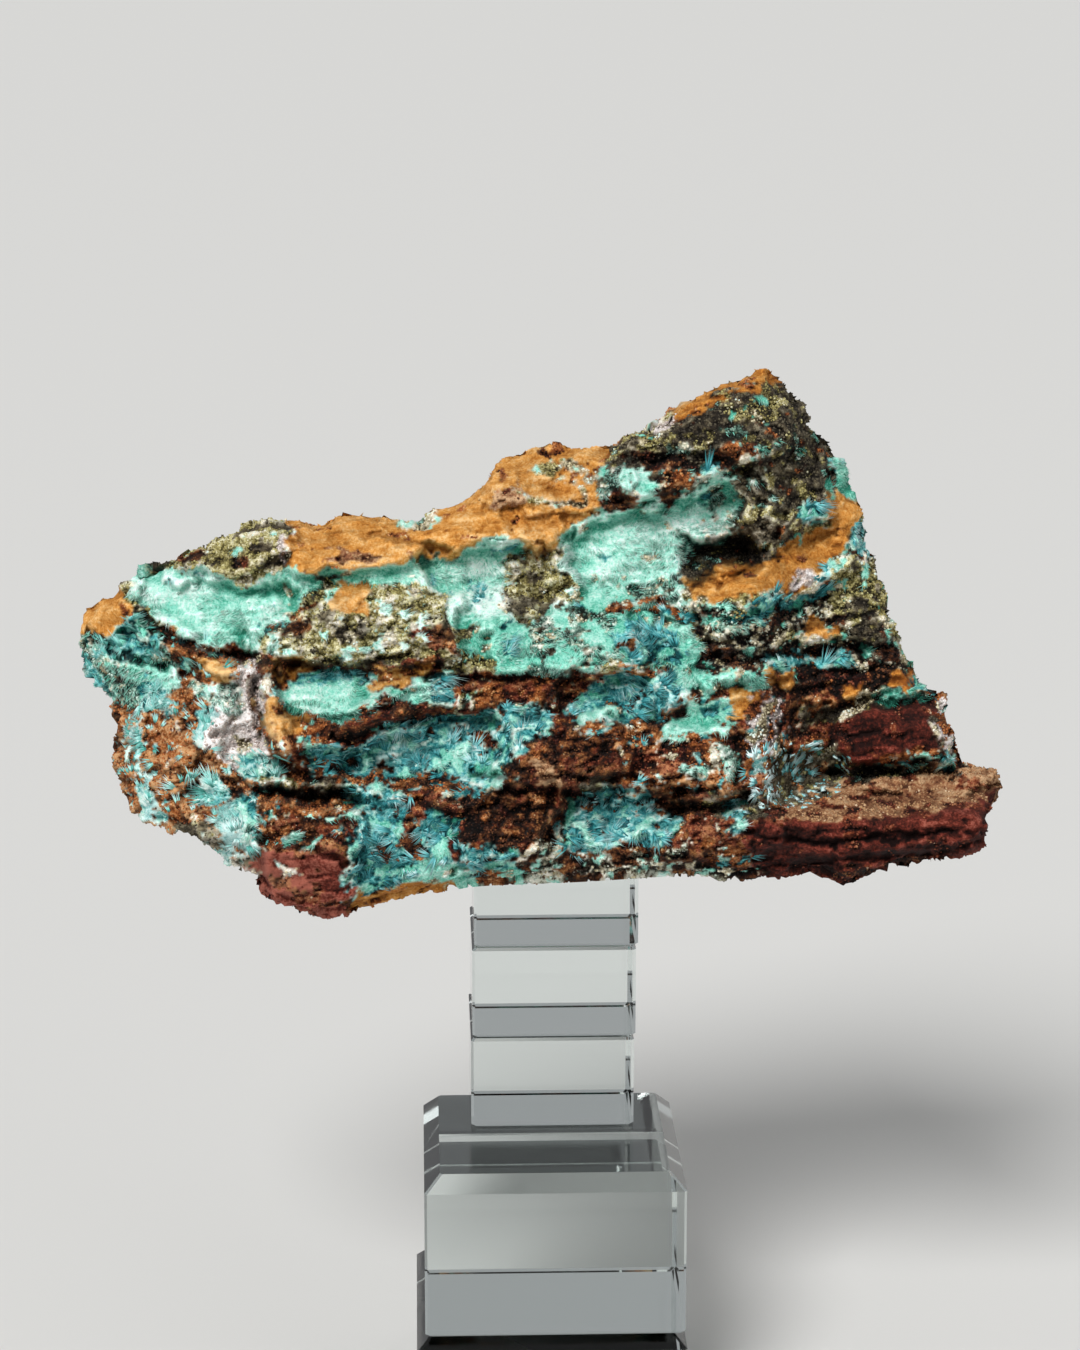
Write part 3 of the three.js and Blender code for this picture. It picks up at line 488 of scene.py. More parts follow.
    ("dark", [(-48, 129.8), (-40, 129.4), (-37, 127.6), (-40, 126.2), (-49, 126.4)]),
    # The middle and the blue slope.
    ("brown", [(-10.6, 126.6), (-7, 129), (-9.4, 132), (-5.6, 134), (-6, 136.4), (-2, 137.6), (1, 140),
               (13, 140.6), (13, 130.4), (9, 127.4), (0, 125.6)]),
    ("rust", [(0.6, 140), (12.6, 140), (12.4, 137.6), (6, 137.6), (1.6, 136)]),
    ("tan", [(-5, 131.6), (0.6, 131.4), (0.6, 127.4), (-4.6, 127.6)]),
    ("brown", [(-18, 126.6), (-8, 127.2), (2, 126), (0, 120.6), (-5, 115.8), (-13, 115.4), (-17, 116)]),
    ("rust", [(13, 141), (32, 140.4), (35, 128), (31, 124.6), (20, 124), (13, 128)]),
    ("red", [(14.6, 135), (24, 136.4), (25, 130.6), (15, 129.6)]),
    ("mint", [(17.4, 138.4), (22, 140.8), (30, 140.6), (29.6, 137), (23, 138), (18.6, 136.4)]),
    ("sage", [(21.4, 130.4), (25, 132), (30.4, 131.6), (30, 128.8), (25, 128.2)]),
    ("brown", [(18, 126), (31, 126.4), (32, 122.2), (22, 121.4)]),
    ("sage", [(31, 136.4), (35.4, 133.6), (35.4, 128), (31.4, 128.6)]),
    ("teal", [(-39.4, 127.6), (-35, 128.4), (-28.4, 127.4), (-28, 119), (-24, 118.4), (-24, 122.4),
              (-17, 122.6), (-17, 118.6), (-15.6, 116), (-7, 116.4), (-6.6, 107), (-20, 106.6), (-27, 109),
              (-31.4, 107.8), (-39, 105)]),
    ("mint", [(-27, 113.4), (-16, 112.4), (-7, 111), (-7, 107), (-20, 106.6), (-27, 109.4)]),
    ("brown", [(-28.6, 119), (-24.6, 118.6), (-24.6, 113.4), (-28, 113)]),
    ("block", [(-19.4, 117.4), (-17, 117), (-17, 113.6), (-19.2, 114)]),
    ("rust", [(-15.4, 111.2), (-10, 111.2), (-10, 107), (-15, 107)]),
    ("ochre", [(-38, 107), (-32, 108.6), (-19.4, 108.8), (-19.6, 104), (-36, 100)]),
    ("rust", [(-55, 127), (-38.6, 126.4), (-38.6, 120), (-55, 121)]),
    ("red", [(-55.6, 122), (-38.6, 122), (-38.6, 112), (-56, 113)]),
    ("mint", [(-52.4, 119.4), (-48, 119.6), (-48, 117.6), (-51, 117.4)]),
    ("mint", [(-47, 115.8), (-43.6, 119.4), (-42.6, 119), (-45.4, 115.2)]),
    ("block", [(-56.5, 115), (-58, 104), (-50, 99), (-38, 99), (-38.6, 112), (-42, 114.8), (-50, 116)]),
    ("cream", [(-51.2, 113), (-47.6, 111.4), (-48.6, 109.6), (-50, 110.4)]),
    # The shelf fan, the lower pocket and the ground between them and the notch.
    ("teal", [(1.6, 141.6), (4.6, 145.6), (9, 148.6), (18, 148.4), (25, 149.6), (25.4, 142.6), (18, 141.6),
              (13, 139.8), (5, 139.4)]),
    ("mint", [(4.6, 141.6), (12, 142.4), (12, 139.8), (5, 139.6)]),
    ("rust", [(25, 146), (28.4, 145.6), (28, 142.4), (25.2, 142.4)]),
    ("mint", [(25.4, 143.6), (33, 143.4), (33, 139), (26, 139.4)]),
    ("teal", [(9, 156), (14, 158.5), (22, 157), (23, 151), (15, 151.5)]),
    ("cream", [(8.6, 151.6), (14, 152), (14, 149.4), (8.6, 149)]),
    ("rust", [(12.6, 152), (18, 152), (18.2, 148.4), (14, 149)]),
    ("rust", [(9, 160.4), (12, 163), (22, 163.4), (27, 161.6), (24, 159.8)]),
    ("teal", [(0, 121), (2, 125.6), (6, 128), (13, 126.8), (18, 125), (22.6, 121.6), (22, 117.4), (14, 116.6),
              (8, 114.6), (2, 115)]),
    ("dark", [(4.4, 129.6), (10, 129.8), (10.4, 126.4), (5, 125.6)]),
    ("red", [(22, 118), (27, 120.8), (41, 121.4), (41, 115.6), (30, 114.8), (23, 115.4)]),
    ("rust", [(28, 115.4), (36.4, 115.4), (36.4, 111.4), (29, 111.6)]),
    # The broken layers on the right, from the orange shelf down.
    ("pepper", [(27, 164), (33, 160), (49, 166.5), (53, 172), (63, 172), (70, 151), (64, 147), (27, 145)]),
    ("mint", [(20, 150), (37, 149.6), (36.6, 145.6), (22, 145.6)]),
    ("sage", [(30, 160.6), (37, 160.4), (37, 156.6), (30, 156.6)]),
    ("cream", [(40, 157), (53, 157.4), (53, 154.8), (40, 154.4)]),
    ("ochre", [(45.6, 158.6), (50.4, 158.6), (50.4, 155.8), (46, 156)]),
    ("olive", [(50.6, 170), (62, 171), (63, 160.4), (51, 160)]),
    ("dark", [(54.6, 160.2), (60.4, 160.2), (60.4, 155), (55, 155)]),
    ("cream", [(60.6, 161), (63, 161), (67.6, 150), (64.2, 150)]),
    ("teal", [(40, 152.4), (54, 152.4), (54, 149.6), (40, 149.4)]),
    ("brown", [(45, 149.8), (62, 149.8), (62, 146.6), (45, 146.6)]),
    ("ochre", [(38.6, 149.4), (44.2, 149.4), (44.2, 146.4), (38.8, 146.6)]),
    ("brown", [(44, 147.2), (58.4, 147.2), (58, 144.2), (44, 144)]),
    ("brown", [(57.6, 149.4), (68.4, 148.6), (69, 144.6), (58, 144.4)]),
    ("ochre", [(53, 146), (57.4, 146), (57.4, 142.6), (53.4, 142.4)]),
    ("ochre", [(62.4, 149.4), (69.4, 149), (69, 144.8), (63, 145)]),
    ("cream", [(55.6, 145), (62, 145.2), (62, 143), (56, 142.8)]),
    ("sage", [(60, 144.4), (68.6, 144.8), (68, 143), (60, 142.6)]),
    ("teal", [(66, 148.4), (71, 148.4), (71.4, 145), (66.6, 145)]),
    ("ochre", [(31.6, 145.2), (36.2, 145.2), (36, 140.6), (32, 140.4)]),
    ("pink", [(35.6, 144), (43, 144), (43, 133), (36.4, 133.4)]),
    ("dark", [(45, 142), (52.2, 142), (52, 138.8), (45.4, 139)]),
    ("brown", [(44, 144.6), (48.4, 144.6), (48.4, 142), (44.4, 142)]),
    ("block", [(52, 140.4), (60, 142.4), (72, 142.6), (72.4, 133.4), (60, 131), (52.6, 131)]),
    ("cream", [(52, 141.6), (60.4, 143), (60.2, 141.4), (52.4, 140)]),
    ("rust", [(59.6, 133.4), (72.6, 134), (72.6, 131.2), (60, 130.6)]),
    ("pink", [(70.8, 147), (76, 144), (77, 133), (72.6, 132.6), (71.6, 139)]),
    ("tan", [(40, 120.4), (50, 127.8), (66, 129.8), (75, 132), (87, 131), (86, 124.4), (72, 123.4),
             (70, 121.6), (56, 120.6)]),
    ("teal", [(71.2, 133.6), (75, 133.8), (75, 129), (71.4, 128.8)]),
    ("dark", [(49, 130.6), (70.4, 131), (70.4, 129.4), (49, 128.4)]),
    ("block", [(36, 119.6), (54, 120.6), (70, 122.4), (72, 124.4), (87, 125), (87, 112), (66, 107), (52, 103),
               (42, 108.6), (37, 111)]),
    ("brown", [(51, 111.4), (61, 111.6), (66, 112.6), (72, 112.4), (66, 107), (52, 103)]),
    ("rust", [(46.6, 136.4), (50.4, 136), (50, 132.8), (46.6, 133)]),
    ("cream", [(50, 135.6), (53, 135.4), (53, 132.8), (50.4, 132.8)]),
    ("dark", [(28.6, 125.8), (33, 126.6), (38.6, 125), (39, 121), (29, 121)]),
    ("dark", [(39, 124), (39.6, 131.6), (46, 134.4), (54, 132.4), (52, 126), (46, 124)]),
    ("teal", [(37, 129.2), (38.4, 134.2), (40.4, 133), (40.2, 129.4)]),
    ("teal", [(31, 124.6), (35.6, 124.4), (35.4, 117.6), (33, 117.4), (33, 121), (30, 121.6)]),
    # The orange shelf, the dark lobe and the right rim.
    ("dark", [(9, 194), (12, 200), (21, 203), (30, 207), (38, 211), (50, 203), (58, 192), (52, 184),
              (46, 176.6), (41, 170), (36, 171), (33, 176), (40, 183), (35, 187), (26, 189.6), (18, 187.4),
              (9, 188)]),
    ("olive", [(11, 197), (18, 197), (20, 191), (12, 189)]),
    ("pink", [(17, 199), (22, 199.6), (22, 193.6), (18, 193)]),
    ("olive", [(32, 199), (37, 202.4), (39, 200.6), (34, 195), (32, 195.4)]),
    ("ochre", [(20.6, 196.6), (26, 198), (33, 201.4), (41.6, 203.6), (44, 208), (36, 210), (26, 205),
               (19, 200)]),
    ("dark", [(36, 189.4), (44, 190.4), (50, 188), (50, 181), (46, 176), (42, 176), (40, 180)]),
    ("brown", [(16, 190.6), (24, 190.6), (24, 187.4), (16, 187)]),
    ("rust", [(18.6, 187.2), (25.4, 187.4), (25.4, 183.6), (19, 183.8)]),
    ("rust", [(29, 191.4), (36.6, 191.6), (36, 187.6), (29.6, 187)]),
    ("teal", [(24.6, 189.6), (29, 189.6), (29.6, 186), (25.6, 186)]),
    ("red", [(7, 182.8), (15, 182.8), (15, 180.4), (8, 180)]),
    ("brown", [(18, 184), (23.4, 184), (21, 179), (17.6, 179.2)]),
    ("mint", [(15, 185.2), (19, 185.4), (19, 180.4), (15, 180.6)]),
    ("dark", [(23.5, 167), (24, 173), (28, 174), (36.5, 174.4), (36, 170.4), (29, 167.6)]),
    ("dark", [(34, 177), (41, 178.6), (45, 177), (42, 171), (36, 170.8)]),
    ("dark", [(32.6, 186), (36, 187.6), (44, 184), (43.6, 176), (36, 172), (33, 174)]),
    ("ochre", [(24.5, 167), (28, 163), (36, 163), (49, 166.5), (54, 175), (59, 178), (59, 183), (50, 182.5),
               (50.5, 177), (46, 174.6), (36, 169.8), (30, 168.4)]),
    ("cream", [(36, 164), (40, 164.6), (47, 164.8), (47.4, 164), (40, 163.4), (36.4, 162.8)]),
    ("pink", [(44.2, 167.6), (47.4, 168), (48, 165.8), (45, 165.4)]),
    ("teal", [(33, 159.4), (36, 162), (40, 164), (46, 163.4), (49.4, 166.6), (51, 169.6), (52.6, 168.6),
              (51.4, 165), (47, 161.6), (40, 161.6), (36, 158.8)]),
    ("teal", [(45.5, 177), (45.5, 181), (50, 181.5), (49.5, 177)]),
    ("mint", [(50.6, 183), (51, 189), (54, 189.6), (58, 184), (57, 181.6), (53, 182)]),
    ("teal", [(53, 172.6), (55.5, 177), (60, 177), (61, 171), (56, 171.6)]),
]
MINERALS = ["ochre", "rust", "olive", "mint", "teal", "sage", "dark", "pepper", "red", "brown", "block",
            "tan", "pink", "cream"]

# Seen from the side or behind, a mineral goes on round the edge from the nearest ground in front,
# and further back it breaks up into patches.
seen_x, seen_z = in_view(points)
level = seen_z - STRATA_RISE * seen_x
wander_a = fractal(points, 14, 1, 3)
wander_b = fractal(points, 14, 2, 3)
fray_a = fractal(points, 2.6, 3, 4)
fray_b = fractal(points, 2.6, 4, 4)
behind = np.clip((points[:, 1] - front_depth(seen_x, seen_z)) / 14, 0, 1) * ~on_front
bend_a = fractal(points, 7, 12, 3)
bend_b = fractal(points, 7, 13, 3)
shift_x = 1.3 * fray_a + 2.6 * bend_a
shift_z = 1.0 * fray_b + 1.7 * bend_b
lookup_x = seen_x + 22 * behind * wander_a + shift_x
lookup_z = seen_z + 9 * behind * wander_b + shift_z
weights = {name: np.zeros(len(points)) for name in MINERALS}
weights["red"] += 1


def paint(mineral, cover):
    for name in MINERALS:
        weights[name] *= 1 - cover
    weights[mineral] += cover


for mineral, ground in ZONES:
    paint(mineral, inside(ground, lookup_x, lookup_z, blur=0.6))
patches = fractal(points, 24, 5, 4)
for mineral, low, high in (("rust", -0.1, 0.1), ("ochre", 0.28, 0.42), ("brown", 0.62, 0.7)):
    paint(mineral, ease(2 * behind - 0.6) * ease((patches - low) / (high - low)))
# Flecks: small patches of one mineral strewn over the ground of another.
flecks_a = fractal(points, 4.6, 8, 4)
flecks_b = fractal(points, 3.0, 9, 4)
low_right = (seen_x > 0) & (seen_z < 150)
FLECKS = [  # on, of, noise, from which level up
    ("rust", "mint", flecks_a, 0.46), ("rust", "teal", -flecks_b, 0.40), ("rust", "brown", -flecks_a, 0.26),
    ("rust", "cream", flecks_b, 0.50), ("red", "brown", flecks_a, 0.20), ("red", "rust", -flecks_a, 0.22),
    ("red", "cream", -flecks_b, 0.50), ("brown", "red", -flecks_a, 0.16), ("brown", "rust", flecks_b, 0.40),
    ("olive", "dark", flecks_a, 0.22), ("olive", "cream", -flecks_b, 0.34),
    ("olive", "mint", -flecks_a, 0.42), ("dark", "olive", flecks_b, 0.30), ("dark", "rust", -flecks_b, 0.52),
    ("mint", "cream", flecks_a, 0.54), ("mint", "teal", -flecks_a, 0.56), ("teal", "mint", -flecks_b, 0.20),
    ("teal", "brown", flecks_b, 0.42), ("pepper", "brown", flecks_a, 0.08),
    ("pepper", "cream", flecks_b, 0.24), ("pepper", "mint", -flecks_b, 0.32),
    ("pink", "dark", flecks_b, 0.50), ("pink", "cream", -flecks_a, 0.20), ("sage", "dark", flecks_b, 0.36),
    ("sage", "mint", flecks_a, 0.02), ("sage", "cream", -flecks_b, 0.40), ("dark", "sage", flecks_a, 0.46),
    ("pink", "rust", np.where(low_right, flecks_a, -1), 0.10),
    ("pink", "teal", np.where(low_right, -flecks_b, -1), 0.30), ("ochre", "rust", flecks_a, 0.50),
    ("block", "red", flecks_a, 0.34), ("tan", "red", flecks_a, 0.26), ("cream", "mint", flecks_b, 0.36),
    ("cream", "olive", -flecks_a, 0.14),
]
calmer = 0.14 * ease((-52 - seen_x) / 5)  # the left end has fewer of them
moves = [(ground, guest, weights[ground] * ease((field - start - calmer) / 0.06))
         for ground, guest, field, start in FLECKS]
for ground, guest, share in moves:
    share = np.minimum(share, weights[ground])
    weights[ground] = weights[ground] - share
    weights[guest] = weights[guest] + share
# Behind, the ground within reach of a crust is teal.
crust_names = [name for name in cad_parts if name.startswith("aurichalcite")]
crust_points = []
crust_of_point = []
for number, name in enumerate(crust_names):
    at = points_of(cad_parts[name])
    crust_points.append(at)
    crust_of_point += [number] * len(at)
crust_points = np.concatenate(crust_points)
crust_tree = kdtree.KDTree(len(crust_points))
for number, at in enumerate(crust_points):
    crust_tree.insert(at, number)
crust_tree.balance()
reach_back = np.full(len(points), 9.0)
for number in np.flatnonzero(behind > 0.5):
    reach_back[number] = crust_tree.find(points[number])[2]
paint("teal", ease(1.6 - reach_back + 0.5 * fray_a))

# The fine relief that each mineral's own break gives.
lumps = fractal(points, 5.5, 6, 4)
grain = fractal(points, 1.5, 7, 3)
strayed = points + np.stack([0.7 * fray_a, 0.7 * fray_b, 0.45 * (fray_a - fray_b)], axis=1)
strayed[:, 2] -= STRATA_RISE * strayed[:, 0]
big_shards, big_seam = shards(strayed, (8.5, 8.5, 4.6), 1)
small_shards, small_seam = shards(strayed, (3.8, 3.8, 2.1), 2)
# Layers: each stands out by its own amount, which changes along it, and is parted into thin sheets.
LAYER = 3.1
SHEETS = 2.6  # to a layer
stack = (level + 1.1 * wander_a + 0.5 * fray_b) / LAYER
sheet = np.floor(stack)
sheet_part = stack - sheet
layers = 1.1 * smooth_noise(seen_x / 9 + 3.7 * sheet, 5.3 * sheet, 60) - 0.5 * (1 - sheet_part) ** 2
thin = np.floor(stack * SHEETS)
layers += 0.45 * smooth_noise(seen_x / 5 + 2.3 * thin, 4.1 * thin, 61)
layer_seam = 1 - ease(sheet_part / 0.16)
layer_seam *= ease(1.6 * smooth_noise(seen_x / 7 + 1.9 * sheet, 3.3 * sheet, 62))
# Hairlines, where the thinnest sheets part.
HAIRLINE_GAP = 1.25
hair = (level + 0.5 * bend_a + 0.25 * fray_a) / HAIRLINE_GAP
hair_lines = 1 - ease(np.abs(hair - np.round(hair)) / 0.14)
hair_lines *= ease(2.5 * smooth_noise(seen_x / 5, 2.7 * np.round(hair), 63))
RELIEF = {  # lumps, shards, grain, layers, seams, in mm
    "ochre": (0.5, 0.45, 0.12, 0.45, 0.25), "rust": (0.8, 0.8, 0.55, 0.35, 0.9),
    "olive": (0.7, 0.6, 0.90, 0.20, 0.8), "mint": (0.35, 0.15, 0.35, 0.10, 0.1),
    "teal": (0.9, 0.45, 0.35, 0.20, 0.5), "dark": (1.1, 0.8, 0.60, 0.30, 0.8),
    "pepper": (0.5, 0.9, 0.60, 0.90, 1.3), "red": (0.7, 0.9, 0.45, 0.70, 1.0),
    "brown": (0.7, 1.0, 0.50, 0.80, 1.2), "block": (0.4, 0.8, 0.12, 0.20, 0.20),
    "tan": (0.3, 0.4, 0.30, 0.15, 0.3), "pink": (0.4, 0.4, 0.55, 0.10, 0.1),
    "cream": (0.4, 0.5, 0.60, 0.20, 0.6), "sage": (1.0, 0.7, 0.60, 0.45, 0.9),
}
facets = 0.75 * big_shards + 0.4 * small_shards
seams = np.maximum(1 - ease(big_seam / 0.16), 0.7 * (1 - ease(small_seam / 0.2)))
seams = np.maximum(seams * ease(1.2 + 2.5 * wander_b), layer_seam)
relief = -0.35 * hair_lines
broken = 0.35 * hair_lines * (1 - weights["mint"] - 0.9 * weights["block"])
for name, (lumpy, sharded, grainy, layered, seamed) in RELIEF.items():
    relief += weights[name] * (lumpy * lumps + sharded * facets + grainy * grain + layered * layers)
    relief -= weights[name] * seamed * seams
    broken += weights[name] * seamed * seams
# crevice: how far the colour is darkened, painted shade in seams, hairlines and cracks.
crevice = np.clip(broken, 0, 1) * on_front
open_x = seen_x + 0.9 * fray_a
open_z = seen_z + 0.9 * fray_b
for half_width, depth, line in CRACKS:
    gap = 1 - ease((line_distance(line, open_x, open_z) - half_width) / 0.7)
    relief -= depth * gap * on_front
    crevice = np.maximum(crevice, gap * on_front * min(1, depth / 3))
# The void is painted dark all over, as shade in a hole.
VOID = [(22.6, 166.6), (23, 174), (28, 175), (37.6, 175.4), (37, 169.8), (29, 167)]
crevice = np.maximum(crevice, on_front * inside(VOID, lookup_x, lookup_z, blur=1))
rim_fade = ease(line_distance(OUTLINE, seen_x, seen_z, closed=True) / 3)
# Chips: small ledges and scoops along the layers, left wherever a flake came away.
seeded = np.random.default_rng(3)
smooth_ground = weights["mint"] + 0.6 * weights["teal"] + 0.5 * weights["block"] + weights["ochre"]
chips = np.zeros(len(points))
chip_x = seen_x + 0.8 * fray_a
chip_z = seen_z + 0.6 * fray_b
for _ in range(CHIPS):
    middle = seeded.uniform((-86, 104), (82, 205))
    half = (seeded.uniform(1.6, 7), seeded.uniform(0.7, 2.2))
    turn = math.degrees(STRATA_RISE) + seeded.normal(0, 14)
    out = seeded.choice([-1, 1]) * seeded.uniform(0.5, 1.9)
    near = (np.abs(seen_x - middle[0]) < half[0] + 4) & (np.abs(seen_z - middle[1]) < half[0] + 4) & on_front
    form = (middle, half, turn, out, out * seeded.uniform(0.1, 0.8), (0.6, 0.9))
    chips[near] += relief_of(form, chip_x[near], chip_z[near], 0.7)
relief += chips * (1 - 0.8 * np.clip(smooth_ground, 0, 1))
soft_ground = np.clip(weights["mint"] + 0.5 * weights["teal"] + 0.5 * weights["ochre"], 0, 1)
broad = front_depth(seen_x, seen_z, shift_x, shift_z, 0.4 + 0.25 * soft_ground)
new_depth = np.maximum(broad - relief * rim_fade, FRONT_LIMIT)
points[on_front] = at_depth(seen_x, seen_z, new_depth)[on_front]

# The rim, the sides and the back lose the solid's facets and take the same break. The seat stays flat.
corners = corners_of(rock)


def smoothed(values, rounds):
    """Values at the points, averaged with their neighbours' again and again."""
    edges = np.concatenate([corners[:, [0, 1]], corners[:, [1, 2]], corners[:, [2, 0]]])
    count = np.bincount(edges.ravel(), minlength=len(points))[:, None]
    for _ in range(rounds):
        total = np.zeros_like(values)
        for column in range(values.shape[1]):
            total[:, column] = (np.bincount(edges[:, 0], values[edges[:, 1], column], len(points))
                                + np.bincount(edges[:, 1], values[edges[:, 0], column], len(points)))
        values = (values + total) / (1 + count)
    return values


def on_faces(values):
    """What each face has of a value at the points: the average of its corners."""
    return values[corners].mean(axis=1)


def normals_of(at):
    across = np.cross(at[corners[:, 1]] - at[corners[:, 0]], at[corners[:, 2]] - at[corners[:, 0]])
    total = np.zeros_like(at)
    for corner in range(3):
        for column in range(3):
            total[:, column] += np.bincount(corners[:, corner], across[:, column], len(at))
    return total / np.maximum(np.linalg.norm(total, axis=1, keepdims=True), 1e-9)


on_seat = ((points > SEAT_LOW) & (points < SEAT_HIGH)).all(axis=1)
free = ~on_front & ~on_seat
points[free] = smoothed(points, 3)[free]
normals = normals_of(smoothed(points, 2))
rough = (0.6 * lumps + 1.1 * facets + 0.45 * grain - 0.8 * seams) * (1 - 0.6 * weights["ochre"])
lift = np.minimum(rough - 0.5, 0.9) * np.where(on_front, 1 - rim_fade, 1) * ~on_seat
lift = np.minimum(lift, np.where(points[:, 1] > BACK_START, 0, 0.9))
points += normals * lift[:, None]
# No point stands out as a lone spike.
average = smoothed(points, 2)
stray = points - average
far_out = np.linalg.norm(stray, axis=1)
points = average + stray * (np.minimum(far_out, SPIKE_LIMIT) / np.maximum(far_out, 1e-6))[:, None]
rock.data.vertices.foreach_set("co", (points / 1000).astype(np.float32).ravel())
rock.data.update()
# Pores and proud edges: how far each point lies under or over the average of those around it.
around = smoothed(points, 6)
under = np.einsum("ij,ij->i", around - points, normals_of(around))
pore = ease(under / 0.5)
# How proud each point is: it places real dust on the edges, and in the shader a painted highlight.
edge_dust_and_highlight = ease(-under / 0.5)
# Calcite and aurichalcite dust whiten the proud edges.
dusty = edge_dust_and_highlight * ease(0.4 + 2 * fray_a) * on_front
DUST = {"olive": 0.35, "pepper": 0.7, "mint": 0.1, "teal": 0.5, "sage": 0.7, "dark": 0.25}
for name, share in DUST.items():
    weights["cream"] += weights[name] * share * dusty
    weights[name] *= 1 - share * dusty


def store(piece, name, values):
    attribute = piece.data.attributes.new(name, "FLOAT", "POINT")
    attribute.data.foreach_set("value", np.asarray(values, np.float32))


for name in MINERALS:
    store(rock, name, weights[name])
# deep: how far a point lies below the broad surface round it. Deep places and pores are painted darker
# through crevice, as shade.
deep = ease((smoothed(points, 60) - points)[:, 1] / -2.2)
pitted = 0.8 - 0.65 * soft_ground - 0.35 * (weights["olive"] + weights["dark"]) - 0.6 * weights["pink"]
crevice = np.maximum(crevice, pore * pitted)
crevice = np.maximum(crevice, 0.25 * deep * (1 - weights["mint"] - weights["pink"]))
crevice *= 1 - 0.85 * weights["pink"] - 0.35 * weights["block"]
store(rock, "crevice", crevice)
store(rock, "edge_dust_and_highlight", edge_dust_and_highlight)
cloud = fractal(points, 9, 10, 4)
calm = 1 - 0.75 * weights["mint"] - 0.4 * weights["ochre"]
# Tone: random clouds and flecks, with painted light and shade: paler where a point stands proud, darker where
# it lies under its neighbours, and mint darker in deep hollows.
tone = calm * (0.20 * cloud + 0.10 * flecks_b - 0.16 * np.clip(under / 0.5, -1, 1)) + 0.06 * facets
tone += 0.15 * weights["tan"] - 0.25 * weights["mint"] * deep
# Places that are paler or darker than the same mineral is elsewhere: by how much, and the ground.
NOTCH = [(38, 123), (37, 134), (46, 135), (55, 133), (53, 126), (46, 123)]
TONES = [
    (0.15, [(-80, 168), (-60, 168), (-48, 170), (-45, 165), (-54, 155), (-70, 157)]),
    (-0.20, [(-63, 172), (-46, 173), (-43, 164), (-53, 155), (-62, 156)]),
    (0.16, [(-92, 142), (-76, 143), (-60, 136), (-56, 110), (-90, 112)]),
    (-0.12, [(-92, 158), (-74, 160), (-70, 152), (-76, 143), (-92, 142)]),
    (0.02, [(-51, 150), (-30, 151), (-30, 143.4), (-49, 142)]),
    (0.16, [(-9, 158), (-9, 171), (2, 174), (3, 160)]),
    (-0.14, [(-39, 127), (-20, 124), (-7, 116), (-7, 106), (-40, 104)]),
    (-0.12, [(-49, 141), (-34, 142), (-28, 142), (-30, 136), (-49, 134)]),
    (-0.12, [(44, 149.6), (68, 149.6), (68, 144), (44, 144)]),
    (0.18, [(-24, 158), (-22, 170), (-8, 176), (-4, 160)]),
    (0.08, [(2, 166), (2, 178), (30, 186), (30, 162)]),
    (-0.17, [(-18, 150), (-18, 158), (8, 162), (26, 160), (26, 150)]),
    (-0.17, [(9, 190), (20, 204), (40, 210), (58, 186), (48, 176), (40, 186)]),
    (-0.12, [(27, 163), (50, 166), (64, 170), (70, 150), (64, 145), (27, 145)]),
    (-0.13, [(50, 142), (60, 143.6), (74, 144), (74, 131), (51, 130)]),
    (0.15, [(-66, 152), (-54, 152), (-50, 133), (-58, 130), (-66, 134)]),
    # Painted light along the shaded groove beside the bowl rim.
    (0.18, [(-61.5, 154), (-57.5, 154), (-57, 140), (-60.5, 140)]),
    (-0.16, [(50, 149.6), (69, 149.6), (69, 144), (50, 144)]),
    (0.14, NOTCH),
    (-0.22, [(35, 145), (44, 145), (44, 132), (35.6, 132)]),
    (0.15, [(-56, 154), (-54, 162), (-32, 165), (-20, 165), (-20, 154), (-36, 151)]),
    (-0.10, [(26, 168), (28, 163), (36, 163), (50, 166), (54, 175), (46, 175), (36, 170)]),
    (0.22, [(-58, 116), (-38, 115), (-36, 99), (-58, 101)]),
    (-0.19, [(36, 119), (86, 124), (86, 104), (40, 104)]),
]
for amount, ground in TONES:
    tone += amount * inside(ground, lookup_x, lookup_z, blur=3) * on_front
store(rock, "tone", tone)
rock.data.polygons.foreach_set("use_smooth", np.ones(len(rock.data.polygons), bool))
bpy.ops.object.shade_smooth_by_angle(angle=math.radians(40))

